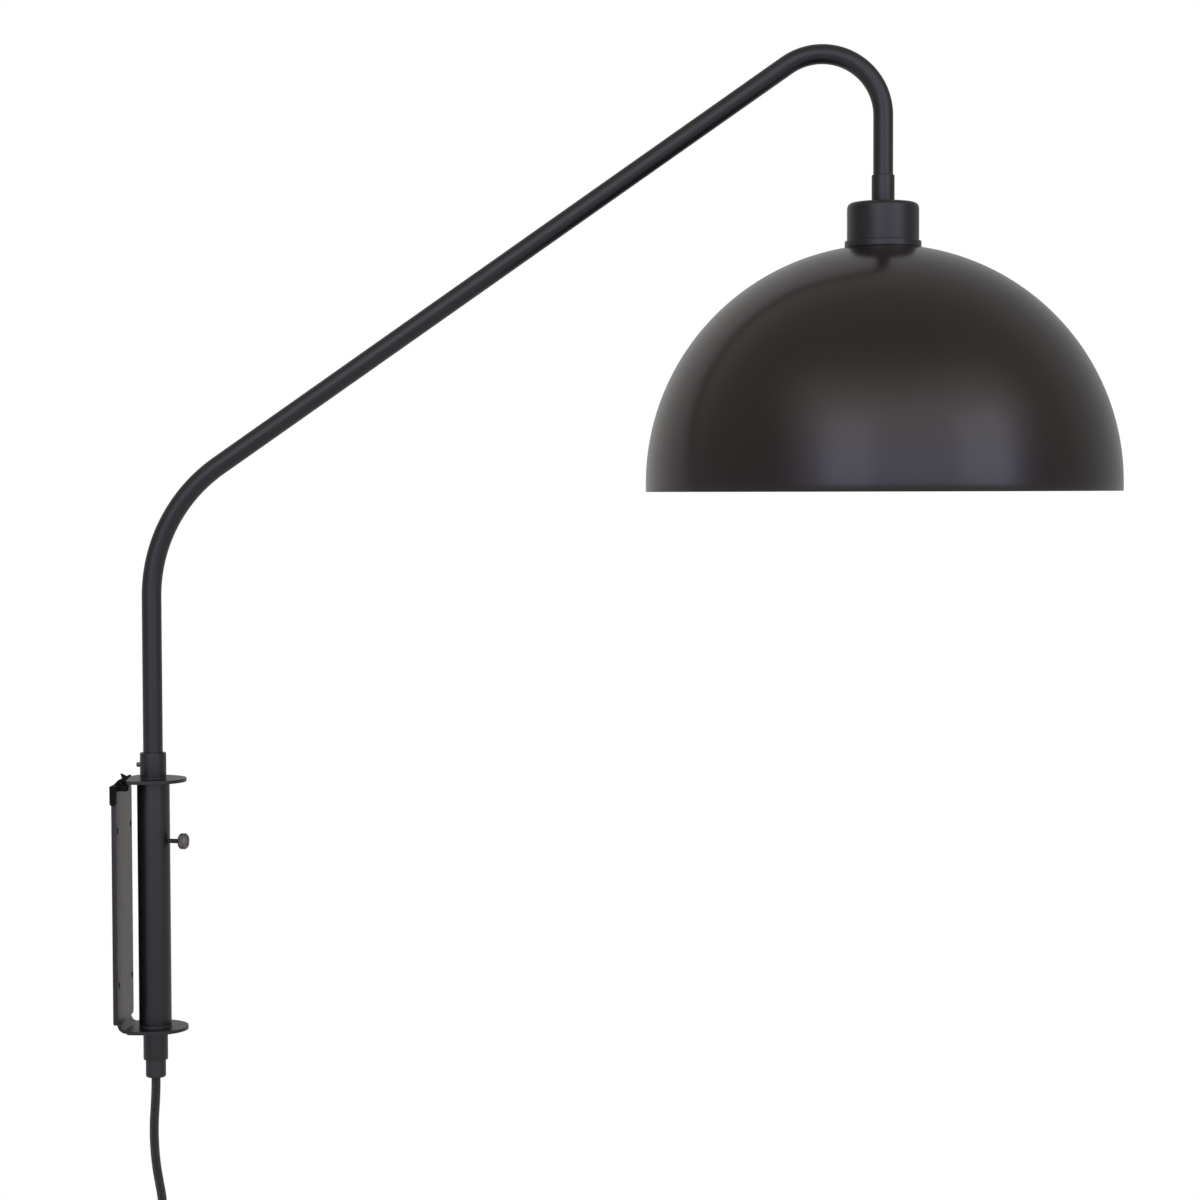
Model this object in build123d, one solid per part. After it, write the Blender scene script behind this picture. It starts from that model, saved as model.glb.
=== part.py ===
"""Swing-arm wall sconce: a folded bracket, a bent tube arm and a dome shade, on a plug-in cord.

Millimetres. The origin is the centre of the wall plate's rear face, +X points away from the
wall, +Y along it and +Z up. The arm is at rest square to the wall, and swings about the
vertical line through the hinge barrel.
"""
from build123d import *
import os
from math import acos, asin, cos, degrees, hypot, pi, radians, sin, sqrt, tan

# ------------------------------------------------------------------ driving sizes

# Fits and clearances, as gaps on the radius or between faces.
running_fit = 0.05          # a shaft that turns in its bush or thread
free_gap = 0.5              # a shaft that passes a hole without touching
slip_gap = 0.1              # pieces that slide together when they are assembled
end_play = 0.3              # up and down play of the arm in its bracket
edge_break = 0.6            # small chamfer on turned edges

# Bracket, folded from one sheet, and the thin plate behind it.
wall_plate_thickness = 1.0
sheet = 2.2
plate_width = 48.0
bracket_height = 164.0      # over both tabs
bend_radius = 4.0           # inside
neck_width = 34.0           # of the sheet where it bends
plate_corner_radius = 3.0
tab_radius = 21.4
tab_shoulder_radius = 4.0
axis_offset = 22.5          # swing axis from the wall
wall_hole_diameter = 4.5
wall_hole_spacing_y = 40.0
wall_hole_spacing_z = 100.0

# Tie round the upper neck of the bracket.
tie_thickness = 1.1
tie_width = 4.4
tie_head_x = 6.4
tie_head_z = 3.9
tie_head_y = 5.2
tie_barb_height = 4.8
tie_barb_reach = 5.4
tie_tail_width = 2.2
tie_stub_length = 12.5
tie_stub_width = 3.6
tie_stub_depth = 5.0

# Hinge barrel and bushes.
barrel_diameter = 21.0
barrel_wall = 2.5
bush_flange = 1.0
bush_length = 14.0

# Arm.
tube_diameter = 12.7
tube_wall = 1.2
knee_height = 253.6         # where the arm's upright and sloping runs would meet
arm_slope = 34.7            # degrees above level
knee_radius = 103.0
reach = 471.5               # swing axis to shade axis
hook_radius = 39.0
hook_straight = 48.3        # from the hook's bend to the tube's end in the ferrule

# Collar that carries the arm, its screw and washer.
collar_diameter = 16.9
collar_height = 15.9
washer_thickness = 0.8
set_screw_diameter = 3.0
set_screw_height = 8.0      # above the collar's foot
set_screw_projection = 2.3
hex_socket_flats = 1.5

# Sleeve and cord grip under the bracket.
sleeve_diameter = 15.9
sleeve_height = 19.4
sleeve_floor = 4.4
grip_diameter = 13.0
grip_height = 11.6
grip_spigot_diameter = 9.6
grip_edge_radius = 1.5
seal_height = 4.0
seal_diameter = 8.4

# Clamp screw in the barrel.
clamp_height = 41.3
clamp_turned = -10.0        # degrees round from the arm's direction
clamp_diameter = 3.0
clamp_tip_length = 2.2
clamp_shank = 9.1
thumb_diameter = 10.3
thumb_length = 5.0
thumb_ridges = 28
thumb_ridge_depth = 0.3
thumb_bevel = 0.9

# Ferrule, cap and ring above the shade.
ferrule_diameter = 14.6
ferrule_height = 17.7
ferrule_floor = 7.0
ferrule_bevel = 0.9
nipple_diameter = 10.0
nipple_bore = 7.4
nut_flats = 14.0
nut_thickness = 3.5
cap_diameter = 45.8
cap_height = 24.4
cap_wall = 1.2
cap_edge_radius = 4.4
ring_diameter = 48.8
ring_height = 4.4
ring_wall = 4.0
ring_spigot_height = 3.0
ring_spigot_wall = 1.2

# Dome shade: a half sphere on a short straight skirt.
shade_radius = 151.5
shade_wall = 1.0
skirt_height = 5.4

# Lampholder.
holder_skirt_diameter = 34.4
holder_skirt_depth = 30.0
holder_flange_diameter = 40.4
holder_flange = 3.0
holder_body_diameter = 33.0
holder_chamber_height = 10.0
holder_floor = 4.0
holder_wall = 2.8
holder_cover_height = 6.0
holder_cover_top = 2.4
shell_wall = 0.5
thread_depth = 0.45
thread_pitch = 3.63
shell_turns = 7
contact_diameter = 7.2
contact_thickness = 1.2
contact_post_diameter = 4.0
terminal_spacing = 18.0
terminal_head_diameter = 6.0
terminal_head_height = 2.0
terminal_shank_diameter = 3.0
terminal_shank_length = 2.5
shade_nut_diameter = 47.0
shade_nut_height = 6.0

# Bulb.
bulb_diameter = 60.0
bulb_length = 108.0
bulb_glass_wall = 1.0
bulb_neck_diameter = 26.2
base_diameter = 26.0
base_turns = 5
base_tip_diameter = 9.0
base_tip_height = 1.4
base_cone_height = 3.0
base_collar_height = 3.6

# Cord, which runs up the arm and hangs below it.
cord_diameter = 6.0
core_diameter = 1.8
core_spacing = 3.2
cord_entry = 8.0            # how far the cord goes into the switch and the plug

# In-line switch.
switch_width = 24.0
switch_depth = 16.0
switch_length = 60.0
switch_wall = 1.8
switch_end_block = 10.0
switch_corner_radius = 3.5
switch_edge_radius = 1.4
rocker_width = 9.0
rocker_length = 17.4
rocker_gap = 0.8
rocker_depth = 6.0
rocker_rise = 1.6
rocker_tilt = 8.0
rocker_pin_diameter = 2.0
rocker_pin_inset = 3.6      # pin axis behind the switch's face
switch_screw_diameter = 2.5
switch_screw_head = 4.4
switch_screw_length = 13.0

# Coil of the cord's spare length.
coil_radius = 47.5          # of the outermost half turn
coil_pitch = 6.5            # from turn to turn and from layer to layer
coil_half_turns = 7         # in each of the two layers
coil_lead_in_radius = 40.0
coil_lead_in_straight = 12.0
coil_lead_out_straight = 18.0
coil_tie_width = 7.0
coil_tie_thickness = 1.4
coil_tie_turned = 48.0      # degrees clockwise from the top of the coil

# Plug.
plug_width = 24.0
plug_depth = 14.0
plug_height = 27.0
plug_top_width = 13.0
plug_top_depth = 10.5
plug_edge_radius = 2.0
relief_length = 24.0
relief_diameter = 10.0
relief_tip_diameter = 8.0
relief_grooves = 4
relief_groove_width = 1.6
relief_groove_depth = 0.7
blade_length = 16.0
blade_root = 8.0
blade_width = 6.35
blade_thickness = 1.5
blade_spacing = 12.7

# The cord's route from the grip to the switch, as points (X, Z) in the plane Y = 0.
# The first point is the foot of the grip and the last is the top of the switch.
cord_route = [
    (22.5, -113.3),
    (22.5, -124.0),
    (20.6, -147.0),
    (21.8, -171.0),
    (26.4, -195.0),
    (26.0, -207.0),
    (26.0, -217.0),
]

# ------------------------------------------------------------------ places worked out

half_height = bracket_height / 2
bracket_back = wall_plate_thickness
plate_front = bracket_back + sheet
bend_outer = bend_radius + sheet
plate_half_length = half_height - bend_outer
tab_inner_height = half_height - sheet

tube_radius = tube_diameter / 2
tube_bore_radius = tube_radius - tube_wall
barrel_half_length = tab_inner_height - bush_flange
barrel_bore_radius = barrel_diameter / 2 - barrel_wall
shade_x = axis_offset + reach

collar_foot = half_height + washer_thickness
sleeve_top = -half_height - end_play
sleeve_foot = sleeve_top - sleeve_height
grip_foot = sleeve_foot - grip_height

hook_corner = knee_height + reach * tan(radians(arm_slope))
tube_end = hook_corner - hook_radius * tan(radians(90 + arm_slope) / 2) - hook_straight
cap_top = tube_end - ferrule_floor
cap_foot = cap_top - cap_height
seat = cap_foot - ring_height
dome_centre = seat - sqrt(shade_radius**2 - (ring_diameter / 2) ** 2)
rim_height = dome_centre - skirt_height
holder_chamber_floor = seat + holder_floor + 1.0
holder_chamber_top = seat + holder_flange + holder_chamber_height
shell_top = seat + 1.0
bulb_tip = shell_top - 2 * contact_thickness - 1.0
base_foot = bulb_tip - base_tip_height - base_cone_height - base_turns * thread_pitch

cord_radius = cord_diameter / 2
switch_x, switch_top = cord_route[-1]
switch_foot = switch_top - switch_length
switch_middle = switch_top - switch_length / 2
switch_face = switch_x + switch_depth / 2

os.makedirs("parts", exist_ok=True)


# ------------------------------------------------------------------ helpers

def save(node, shape):
    """Write one node of the model, as one solid or a group of separate solids."""
    solids = shape.solids()
    export_step(solids[0] if len(solids) == 1 else Compound(children=solids), f"parts/{node}.step")


def turned(outline, x=0.0):
    """Turn an outline of (radius, height) points about the upright axis at x."""
    face = make_face(Polyline([(r, 0, z) for r, z in outline], close=True))
    return Pos(x, 0, 0) * revolve(face, Axis.Z)


def pipe(path, radius, bore=0.0):
    """Carry a circle, or a ring when it has a bore, along a path."""
    section = Circle(radius) - Circle(bore) if bore else Circle(radius)
    return sweep(Plane(origin=path @ 0, z_dir=path % 0) * section, path=path)


def upright(radius, foot, top, x=0.0, y=0.0):
    """A round bar from one height to another."""
    return Pos(x, y, foot) * Cylinder(radius, top - foot, align=(Align.CENTER, Align.CENTER, Align.MIN))


def block(x0, x1, y0, y1, z0, z1):
    """A box between two corners."""
    return Pos(x0, y0, z0) * Box(x1 - x0, y1 - y0, z1 - z0, align=(Align.MIN,) * 3)


def outward(distance):
    """The place at a distance from the swing axis, on the clamp screw's axis, facing outwards."""
    place = Pos(axis_offset, 0, clamp_height) * Rot(0, 0, clamp_turned) * Pos(distance, 0, 0)
    return place * Rot(0, 90, 0)


def arm_path(foot, end):
    """The arm's centreline: up from a foot, over the knee, up the slope and down the hook."""
    points = [
        (axis_offset, 0, foot),
        (axis_offset, 0, knee_height),
        (shade_x, 0, hook_corner),
        (shade_x, 0, end),
    ]
    return FilletPolyline(*points, radius=[knee_radius, hook_radius])


# ------------------------------------------------------------------ bracket

def wall_holes(x0, x1):
    """Four screw holes through a plate that lies between two planes."""
    places = GridLocations(wall_hole_spacing_z, wall_hole_spacing_y, 2, 2)
    drill = Cylinder(wall_hole_diameter / 2, x1 - x0, align=(Align.CENTER, Align.CENTER, Align.MIN))
    return Pos(x0, 0, 0) * Rot(0, 90, 0) * (Part() + [place * drill for place in places])


def upright_plate(thickness, back):
    """The plate's rounded rectangle, standing on the wall side."""
    outline = RectangleRounded(2 * plate_half_length, plate_width, plate_corner_radius)
    return Pos(back, 0, 0) * Rot(0, 90, 0) * extrude(outline, thickness)


def wall_plate():
    return upright_plate(wall_plate_thickness, 0) - wall_holes(0, wall_plate_thickness)


def tab():
    """The upper tab with its neck and bend, on the height of the bracket's top."""
    shoulder = bracket_back + bend_outer
    straight = Pos((shoulder + axis_offset) / 2, 0) * Rectangle(axis_offset - shoulder, 2 * tab_radius)
    corners = straight.vertices().group_by(Axis.X)[0]
    outline = fillet(corners, tab_shoulder_radius) + Pos(axis_offset, 0) * Circle(tab_radius)
    outline = outline - Pos(shoulder - tab_radius, 0) * Rectangle(2 * tab_radius, 2 * tab_radius)
    neck = Pos((shoulder + axis_offset) / 2, 0) * Rectangle(axis_offset - shoulder, neck_width)
    outline = outline + neck - Pos(axis_offset, 0) * Circle(tube_radius + free_gap)
    flat = Pos(0, 0, tab_inner_height) * extrude(outline, sheet)
    ring = Circle(bend_outer) - Circle(bend_radius)
    quarter = ring & Pos(-bend_outer / 2, bend_outer / 2) * Rectangle(bend_outer, bend_outer)
    bend = Pos(shoulder, neck_width / 2, plate_half_length) * Rot(90, 0, 0) * extrude(quarter, neck_width)
    return flat + bend


def bracket():
    upper = tab()
    plate = upright_plate(sheet, bracket_back)
    neck_patch = block(bracket_back, plate_front, -neck_width / 2, neck_width / 2,
                       -plate_half_length, plate_half_length)
    body = plate + neck_patch + upper + mirror(upper, about=Plane.XY)
    return body - wall_holes(bracket_back, plate_front)


def hanging_tie():
    """A narrow band through both reliefs of the upper bend, with its head on the near side."""
    middle = sqrt(0.5)
    normal_out = bend_outer + tie_thickness
    normal_in = bend_radius - sqrt(bend_radius**2 - (tie_width / 2) ** 2) + 2 * slip_gap
    inner = bend_radius - normal_in
    outside = normal_out + slip_gap
    band_depth = outside - (inner - tie_thickness)
    half_band = neck_width / 2 + slip_gap + tie_thickness
    solid = Box(band_depth, 2 * half_band, tie_width)
    window_depth = band_depth - 2 * tie_thickness
    solid = solid - Box(window_depth, 2 * (half_band - tie_thickness), tie_width)
    shoulder = bracket_back + bend_outer
    centre_out = (outside + inner - tie_thickness) / 2
    place = Pos(shoulder - centre_out * middle, 0, plate_half_length + centre_out * middle)
    band = place * Rot(0, -135, 0) * solid
    near = -half_band
    head = block(plate_front + edge_break, plate_front + edge_break + tie_head_x,
                 near - tie_head_y + tie_thickness, near + tie_thickness,
                 plate_half_length - slip_gap, plate_half_length - slip_gap + tie_head_z)
    head = fillet(head.edges().filter_by(Axis.Y), edge_break)
    tail_x = shoulder - 1.5 * tie_thickness
    tail_half = tie_tail_width / 2
    tail_foot = plate_half_length + tie_head_z / 2
    barb_foot = half_height + slip_gap
    barb = extrude(
        make_face(Polyline([
            (tail_x - tail_half, 0, tail_foot),
            (tail_x + tail_half, 0, tail_foot),
            (tail_x + tail_half, 0, barb_foot),
            (tail_x + 0.5 * tie_barb_reach, 0, barb_foot),
            (tail_x + tie_barb_reach, 0, barb_foot + 0.45 * tie_barb_height),
            (tail_x, 0, barb_foot + tie_barb_height),
            (tail_x + tail_half, 0, barb_foot + 0.3 * tie_barb_height),
            (tail_x - tail_half, 0, barb_foot - slip_gap),
        ], close=True)),
        (tie_head_y / 2 + tie_thickness) / 2, dir=(0, 1, 0), both=True)
    barb = Pos(0, near + (tie_thickness - tie_head_y / 2) / 2, 0) * barb
    bridge_y = -plate_width / 2 - slip_gap - tie_stub_depth
    bridge = block(slip_gap, plate_front + 2 * edge_break, bridge_y, near + tie_thickness,
                   plate_half_length + slip_gap, plate_half_length + slip_gap + tie_stub_width)
    stub_top = plate_half_length + slip_gap + tie_stub_width
    stub = block(slip_gap, slip_gap + tie_stub_width, bridge_y, bridge_y + tie_stub_depth,
                 stub_top - tie_stub_length, stub_top)
    stub = fillet(stub.edges().filter_by(Axis.Y).group_by(Axis.Z)[0], tie_stub_width * 0.45)
    return band + head + barb + bridge + stub


# ------------------------------------------------------------------ hinge

def hinge_barrel():
    tube = upright(barrel_diameter / 2, -barrel_half_length, barrel_half_length)
    tube = tube - upright(barrel_bore_radius, -barrel_half_length, barrel_half_length)
    drill = outward(0) * Cylinder(
        clamp_diameter / 2 + running_fit, barrel_diameter, align=(Align.CENTER, Align.CENTER, Align.MIN))
    return Pos(axis_offset, 0, 0) * tube - drill


def upper_bush():
    """A flanged bush, its flange between the barrel's end and the tab."""
    bore = tube_radius + running_fit
    return turned([
        (bore, tab_inner_height),
        (barrel_diameter / 2, tab_inner_height),
        (barrel_diameter / 2, barrel_half_length),
        (barrel_bore_radius, barrel_half_length),
        (barrel_bore_radius, barrel_half_length - bush_length),
        (bore, barrel_half_length - bush_length),
    ], axis_offset)


def lower_bush():
    return mirror(upper_bush(), about=Plane.XY)


def clamp_tip():
    """The soft tip that presses on the arm and slides in the barrel's threaded hole."""
    start = tube_radius + slip_gap
    return outward(start) * Cylinder(
        clamp_diameter / 2, clamp_tip_length, align=(Align.CENTER, Align.CENTER, Align.MIN))


def thumbscrew():
    shank_start = tube_radius + slip_gap + clamp_tip_length
    head_start = shank_start + clamp_shank
    shank = outward(shank_start) * Cylinder(
        clamp_diameter / 2, clamp_shank, align=(Align.CENTER, Align.CENTER, Align.MIN))
    outer = thumb_diameter / 2
    step = 2 * pi / thumb_ridges
    rim = []
    for ridge in range(thumb_ridges):
        rim.append((outer * cos(ridge * step), outer * sin(ridge * step)))
        valley = (ridge + 0.5) * step
        rim.append(((outer - thumb_ridge_depth) * cos(valley), (outer - thumb_ridge_depth) * sin(valley)))
    ridged = extrude(make_face(Polyline(*rim, close=True)), thumb_length)
    bevelled = turned([
        (0, 0),
        (outer - thumb_bevel, 0),
        (outer, thumb_bevel),
        (outer, thumb_length - thumb_bevel),
        (outer - thumb_bevel, thumb_length),
        (0, thumb_length),
    ])
    return shank + outward(head_start) * (ridged & bevelled)


# ------------------------------------------------------------------ arm and what is on it

def arm_tube():
    return pipe(arm_path(sleeve_foot + sleeve_floor, tube_end), tube_radius, tube_bore_radius)


def thrust_washer():
    return turned([
        (tube_radius + slip_gap, half_height),
        (collar_diameter / 2, half_height),
        (collar_diameter / 2, collar_foot),
        (tube_radius + slip_gap, collar_foot),
    ], axis_offset)


def stop_collar():
    top = collar_foot + collar_height
    ring = turned([
        (tube_radius, collar_foot),
        (collar_diameter / 2 - edge_break / 2, collar_foot),
        (collar_diameter / 2, collar_foot + edge_break / 2),
        (collar_diameter / 2, top - edge_break),
        (collar_diameter / 2 - edge_break, top),
        (tube_radius, top),
    ], axis_offset)
    drill = Pos(axis_offset, 0, collar_foot + set_screw_height) * Rot(0, -90, 0) * Cylinder(
        set_screw_diameter / 2, collar_diameter, align=(Align.CENTER, Align.CENTER, Align.MIN))
    return ring - drill


def collar_screw():
    """A grub screw that stands a little proud of the collar, with a hexagon socket."""
    length = collar_diameter / 2 - tube_radius + set_screw_projection
    body = Cylinder(set_screw_diameter / 2, length, align=(Align.CENTER, Align.CENTER, Align.MIN))
    body = chamfer(body.faces().sort_by(Axis.Z)[-1].edges(), edge_break / 2)
    socket = extrude(RegularPolygon(hex_socket_flats / 2, 6, major_radius=False), length / 2)
    body = body - Pos(0, 0, length / 2) * socket
    return Pos(axis_offset - tube_radius, 0, collar_foot + set_screw_height) * Rot(0, -90, 0) * body


def lower_sleeve():
    outer = sleeve_diameter / 2
    shoulder = sleeve_foot + sleeve_floor
    return turned([
        (tube_radius, sleeve_top),
        (outer - edge_break / 2, sleeve_top),
        (outer, sleeve_top - edge_break / 2),
        (outer, sleeve_foot + edge_break),
        (outer - edge_break, sleeve_foot),
        (grip_spigot_diameter / 2, sleeve_foot),
        (grip_spigot_diameter / 2, shoulder),
        (tube_radius, shoulder),
    ], axis_offset)


def cord_grip():
    """The gland's nut: a spigot in the sleeve, a rounded foot, and a pocket for the seal."""
    bore = cord_radius + slip_gap
    seal_foot = grip_foot + (grip_height - seal_height) / 2
    body = turned([
        (bore, sleeve_foot + sleeve_floor),
        (grip_spigot_diameter / 2, sleeve_foot + sleeve_floor),
        (grip_spigot_diameter / 2, sleeve_foot),
        (grip_diameter / 2, sleeve_foot),
        (grip_diameter / 2, grip_foot),
        (bore, grip_foot),
        (bore, seal_foot),
        (seal_diameter / 2, seal_foot),
        (seal_diameter / 2, seal_foot + seal_height),
        (bore, seal_foot + seal_height),
    ], axis_offset)
    rim = body.edges().filter_by(GeomType.CIRCLE).group_by(Axis.Z)[0].sort_by(SortBy.RADIUS)[-1]
    return fillet(rim, grip_edge_radius)


def grip_seal():
    seal_foot = grip_foot + (grip_height - seal_height) / 2
    return turned([
        (cord_radius, seal_foot),
        (seal_diameter / 2, seal_foot),
        (seal_diameter / 2, seal_foot + seal_height),
        (cord_radius, seal_foot + seal_height),
    ], axis_offset)


def inner_lead():
    """The cord's length inside the arm, from the grip's foot to the lampholder's chamber."""
    return pipe(arm_path(grip_foot, holder_chamber_top), cord_radius)


# ------------------------------------------------------------------ head

def arm_ferrule():
    outer = ferrule_diameter / 2
    top = cap_top + ferrule_height
    return turned([
        (nipple_diameter / 2, cap_top),
        (outer, cap_top),
        (outer, top - ferrule_bevel),
        (outer - ferrule_bevel / 2, top),
        (tube_radius, top),
        (tube_radius, tube_end),
        (nipple_diameter / 2, tube_end),
    ], shade_x)


def nipple():
    bore = nipple_bore / 2
    foot = holder_chamber_top + holder_cover_height - holder_cover_top
    return turned([
        (bore, foot),
        (nipple_diameter / 2, foot),
        (nipple_diameter / 2, tube_end),
        (bore, tube_end),
    ], shade_x)


def cap_nut():
    top = cap_top - cap_wall
    nut = extrude(RegularPolygon(nut_flats / 2, 6, major_radius=False) - Circle(nipple_diameter / 2),
                  nut_thickness)
    return Pos(shade_x, 0, top - nut_thickness) * nut


def socket_cap():
    outer = cap_diameter / 2
    cup = turned([
        (nipple_diameter / 2, cap_top),
        (outer, cap_top),
        (outer, cap_foot),
        (outer - cap_wall, cap_foot),
        (outer - cap_wall, cap_top - cap_wall),
        (nipple_diameter / 2, cap_top - cap_wall),
    ])
    rims = cup.edges().filter_by(GeomType.CIRCLE).group_by(Axis.Z)
    cup = fillet(rims[-1].sort_by(SortBy.RADIUS)[-1], cap_edge_radius)
    inner = cup.edges().filter_by(GeomType.CIRCLE).filter_by(
        lambda e: abs(e.radius - outer + cap_wall) < 1e-6 and e.center().Z > cap_foot + cap_wall)
    return Pos(shade_x, 0, 0) * fillet(inner, cap_edge_radius - cap_wall)


def shade_ring():
    """The ring between cap and shade, with a spigot inside the cap."""
    outer = ring_diameter / 2
    spigot = cap_diameter / 2 - cap_wall - slip_gap
    bore = spigot - ring_spigot_wall
    return turned([
        (bore, seat),
        (outer, seat),
        (outer, cap_foot - edge_break / 2),
        (outer - edge_break / 2, cap_foot),
        (spigot, cap_foot),
        (spigot, cap_foot + ring_spigot_height),
        (bore, cap_foot + ring_spigot_height),
    ], shade_x)


def dome_shade():
    """A spun half sphere with a flat seat for the ring, a hole for the holder and a skirt."""
    inner_radius = shade_radius - shade_wall
    hole = holder_skirt_diameter / 2 + 2 * slip_gap
    seat_angle = degrees(acos(ring_diameter / 2 / shade_radius))
    outer = CenterArc((0, dome_centre), shade_radius, 0, seat_angle)
    inner_angle = degrees(asin((seat - shade_wall - dome_centre) / inner_radius))
    inner = CenterArc((0, dome_centre), inner_radius, 0, inner_angle)
    outline = Curve() + [
        outer,
        Line(outer @ 1, (hole, seat)),
        Line((hole, seat), (hole, seat - shade_wall)),
        Line((hole, seat - shade_wall), inner @ 1),
        inner,
        Line(inner @ 0, (inner_radius, rim_height)),
        Line((inner_radius, rim_height), (shade_radius, rim_height)),
        Line((shade_radius, rim_height), outer @ 0),
    ]
    return Pos(shade_x, 0, 0) * revolve(Plane.XZ * make_face(outline), Axis.Z)


def lampholder_body():
    skirt = holder_skirt_diameter / 2
    well = skirt - holder_wall
    flange_top = seat + holder_flange
    body = holder_body_diameter / 2
    return turned([
        (well, seat - holder_skirt_depth),
        (skirt, seat - holder_skirt_depth),
        (skirt, seat),
        (holder_flange_diameter / 2, seat),
        (holder_flange_diameter / 2, flange_top),
        (body, flange_top),
        (body, holder_chamber_top),
        (body - holder_wall, holder_chamber_top),
        (body - holder_wall, holder_chamber_floor),
        (contact_post_diameter / 2, holder_chamber_floor),
        (contact_post_diameter / 2, shell_top),
        (well, shell_top),
    ], shade_x) - terminal_holes()


def terminal_places():
    return [Pos(shade_x + side * terminal_spacing / 2, 0, holder_chamber_floor) for side in (-1, 1)]


def terminal_holes():
    return Part() + [
        place * Cylinder(terminal_shank_diameter / 2, terminal_shank_length,
                         align=(Align.CENTER, Align.CENTER, Align.MAX))
        for place in terminal_places()]


def terminal_screws():
    head = Cylinder(terminal_head_diameter / 2, terminal_head_height,
                    align=(Align.CENTER, Align.CENTER, Align.MIN))
    slot = Pos(0, 0, terminal_head_height) * Box(terminal_head_diameter, edge_break, edge_break * 2)
    shank = Cylinder(terminal_shank_diameter / 2, terminal_shank_length,
                     align=(Align.CENTER, Align.CENTER, Align.MAX))
    return Compound(children=[place * (head - slot + shank) for place in terminal_places()])


def lampholder_cover():
    body = holder_body_diameter / 2
    top = holder_chamber_top + holder_cover_height
    cover = turned([
        (body - holder_wall, holder_chamber_top),
        (body, holder_chamber_top),
        (body, top),
        (nipple_diameter / 2, top),
        (nipple_diameter / 2, top - holder_cover_top),
        (body - holder_wall, top - holder_cover_top),
    ])
    rim = cover.edges().filter_by(GeomType.CIRCLE).group_by(Axis.Z)[-1].sort_by(SortBy.RADIUS)[-1]
    return Pos(shade_x, 0, 0) * chamfer(rim, 2 * edge_break)


def rope_thread(radius, foot, turns):
    """A smooth wave of crests and roots up a cylinder's side, as tangent arcs of (radius, height)."""
    arcs = []
    for half in range(2 * turns):
        start = radius - (thread_depth if half % 2 else 0)
        end = radius - (0 if half % 2 else thread_depth)
        low = foot + half * thread_pitch / 2
        middle = ((start + end) / 2, low + thread_pitch / 4)
        first = TangentArc((start, low), middle, tangent=(0, 1))
        arcs += [first, TangentArc(middle, (end, low + thread_pitch / 2), tangent=first % 1)]
    return arcs


def screw_shell():
    """A thin threaded shell with a flange that lies under the lampholder's floor."""
    crest = holder_skirt_diameter / 2 - holder_wall - slip_gap
    foot = shell_top - shell_wall - shell_turns * thread_pitch
    outer = rope_thread(crest, foot, shell_turns)
    inner = rope_thread(crest - shell_wall, foot, shell_turns)
    top = foot + shell_turns * thread_pitch
    hole = contact_diameter / 2 + 2 * free_gap
    outline = Curve() + outer + [
        Line(outer[-1] @ 1, (crest, shell_top)),
        Line((crest, shell_top), (hole, shell_top)),
        Line((hole, shell_top), (hole, top)),
        Line((hole, top), inner[-1] @ 1),
        Line(inner[0] @ 0, outer[0] @ 0),
    ] + inner
    return Pos(shade_x, 0, 0) * revolve(Plane.XZ * make_face(outline), Axis.Z)


def centre_contact():
    disc_top = bulb_tip + contact_thickness
    return turned([
        (0, bulb_tip),
        (contact_diameter / 2, bulb_tip),
        (contact_diameter / 2, disc_top),
        (contact_post_diameter / 2, disc_top),
        (contact_post_diameter / 2, holder_chamber_floor),
        (0, holder_chamber_floor),
    ], shade_x)


def lead_cores():
    """Two wires from the cord's end to the terminal screws."""
    wires = []
    rest = holder_chamber_floor + terminal_head_height + core_diameter / 2
    start_height = holder_chamber_top
    for side in (-1, 1):
        start_x = shade_x + side * core_spacing / 2
        end_x = shade_x + side * terminal_spacing / 2
        path = FilletPolyline((start_x, 0, start_height), (start_x, 0, rest), (end_x, 0, rest),
                              radius=core_diameter)
        wires.append(pipe(path, core_diameter / 2))
    return Compound(children=wires)


def shade_nut():
    """The ring that screws up the lampholder's skirt and holds the shade against the ring above."""
    top = seat - shade_wall
    foot = top - shade_nut_height
    outer = shade_nut_diameter / 2
    return turned([
        (holder_skirt_diameter / 2, foot),
        (outer - 2 * edge_break, foot),
        (outer, foot + 2 * edge_break),
        (outer, top),
        (holder_skirt_diameter / 2, top),
    ], shade_x)


# ------------------------------------------------------------------ bulb

def bulb_outline(offset):
    """One side of the glass: a sphere that runs into the neck, smaller all over by an offset."""
    radius = bulb_diameter / 2 - offset
    centre = bulb_tip - bulb_length + bulb_diameter / 2
    shoulder_angle = 28.0
    ball = CenterArc((0, centre), radius, -90, 90 + shoulder_angle)
    neck = TangentArc(ball @ 1, (bulb_neck_diameter / 2 - offset, base_foot), tangent=ball % 1)
    return ball, neck


def bulb_glass():
    ball, neck = bulb_outline(0)
    inner_ball, inner_neck = bulb_outline(bulb_glass_wall)
    outline = Curve() + [
        ball, neck,
        Line(neck @ 1, inner_neck @ 1),
        inner_neck, inner_ball,
        Line(inner_ball @ 0, ball @ 0),
    ]
    return Pos(shade_x, 0, 0) * revolve(Plane.XZ * make_face(outline), Axis.Z)


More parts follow.
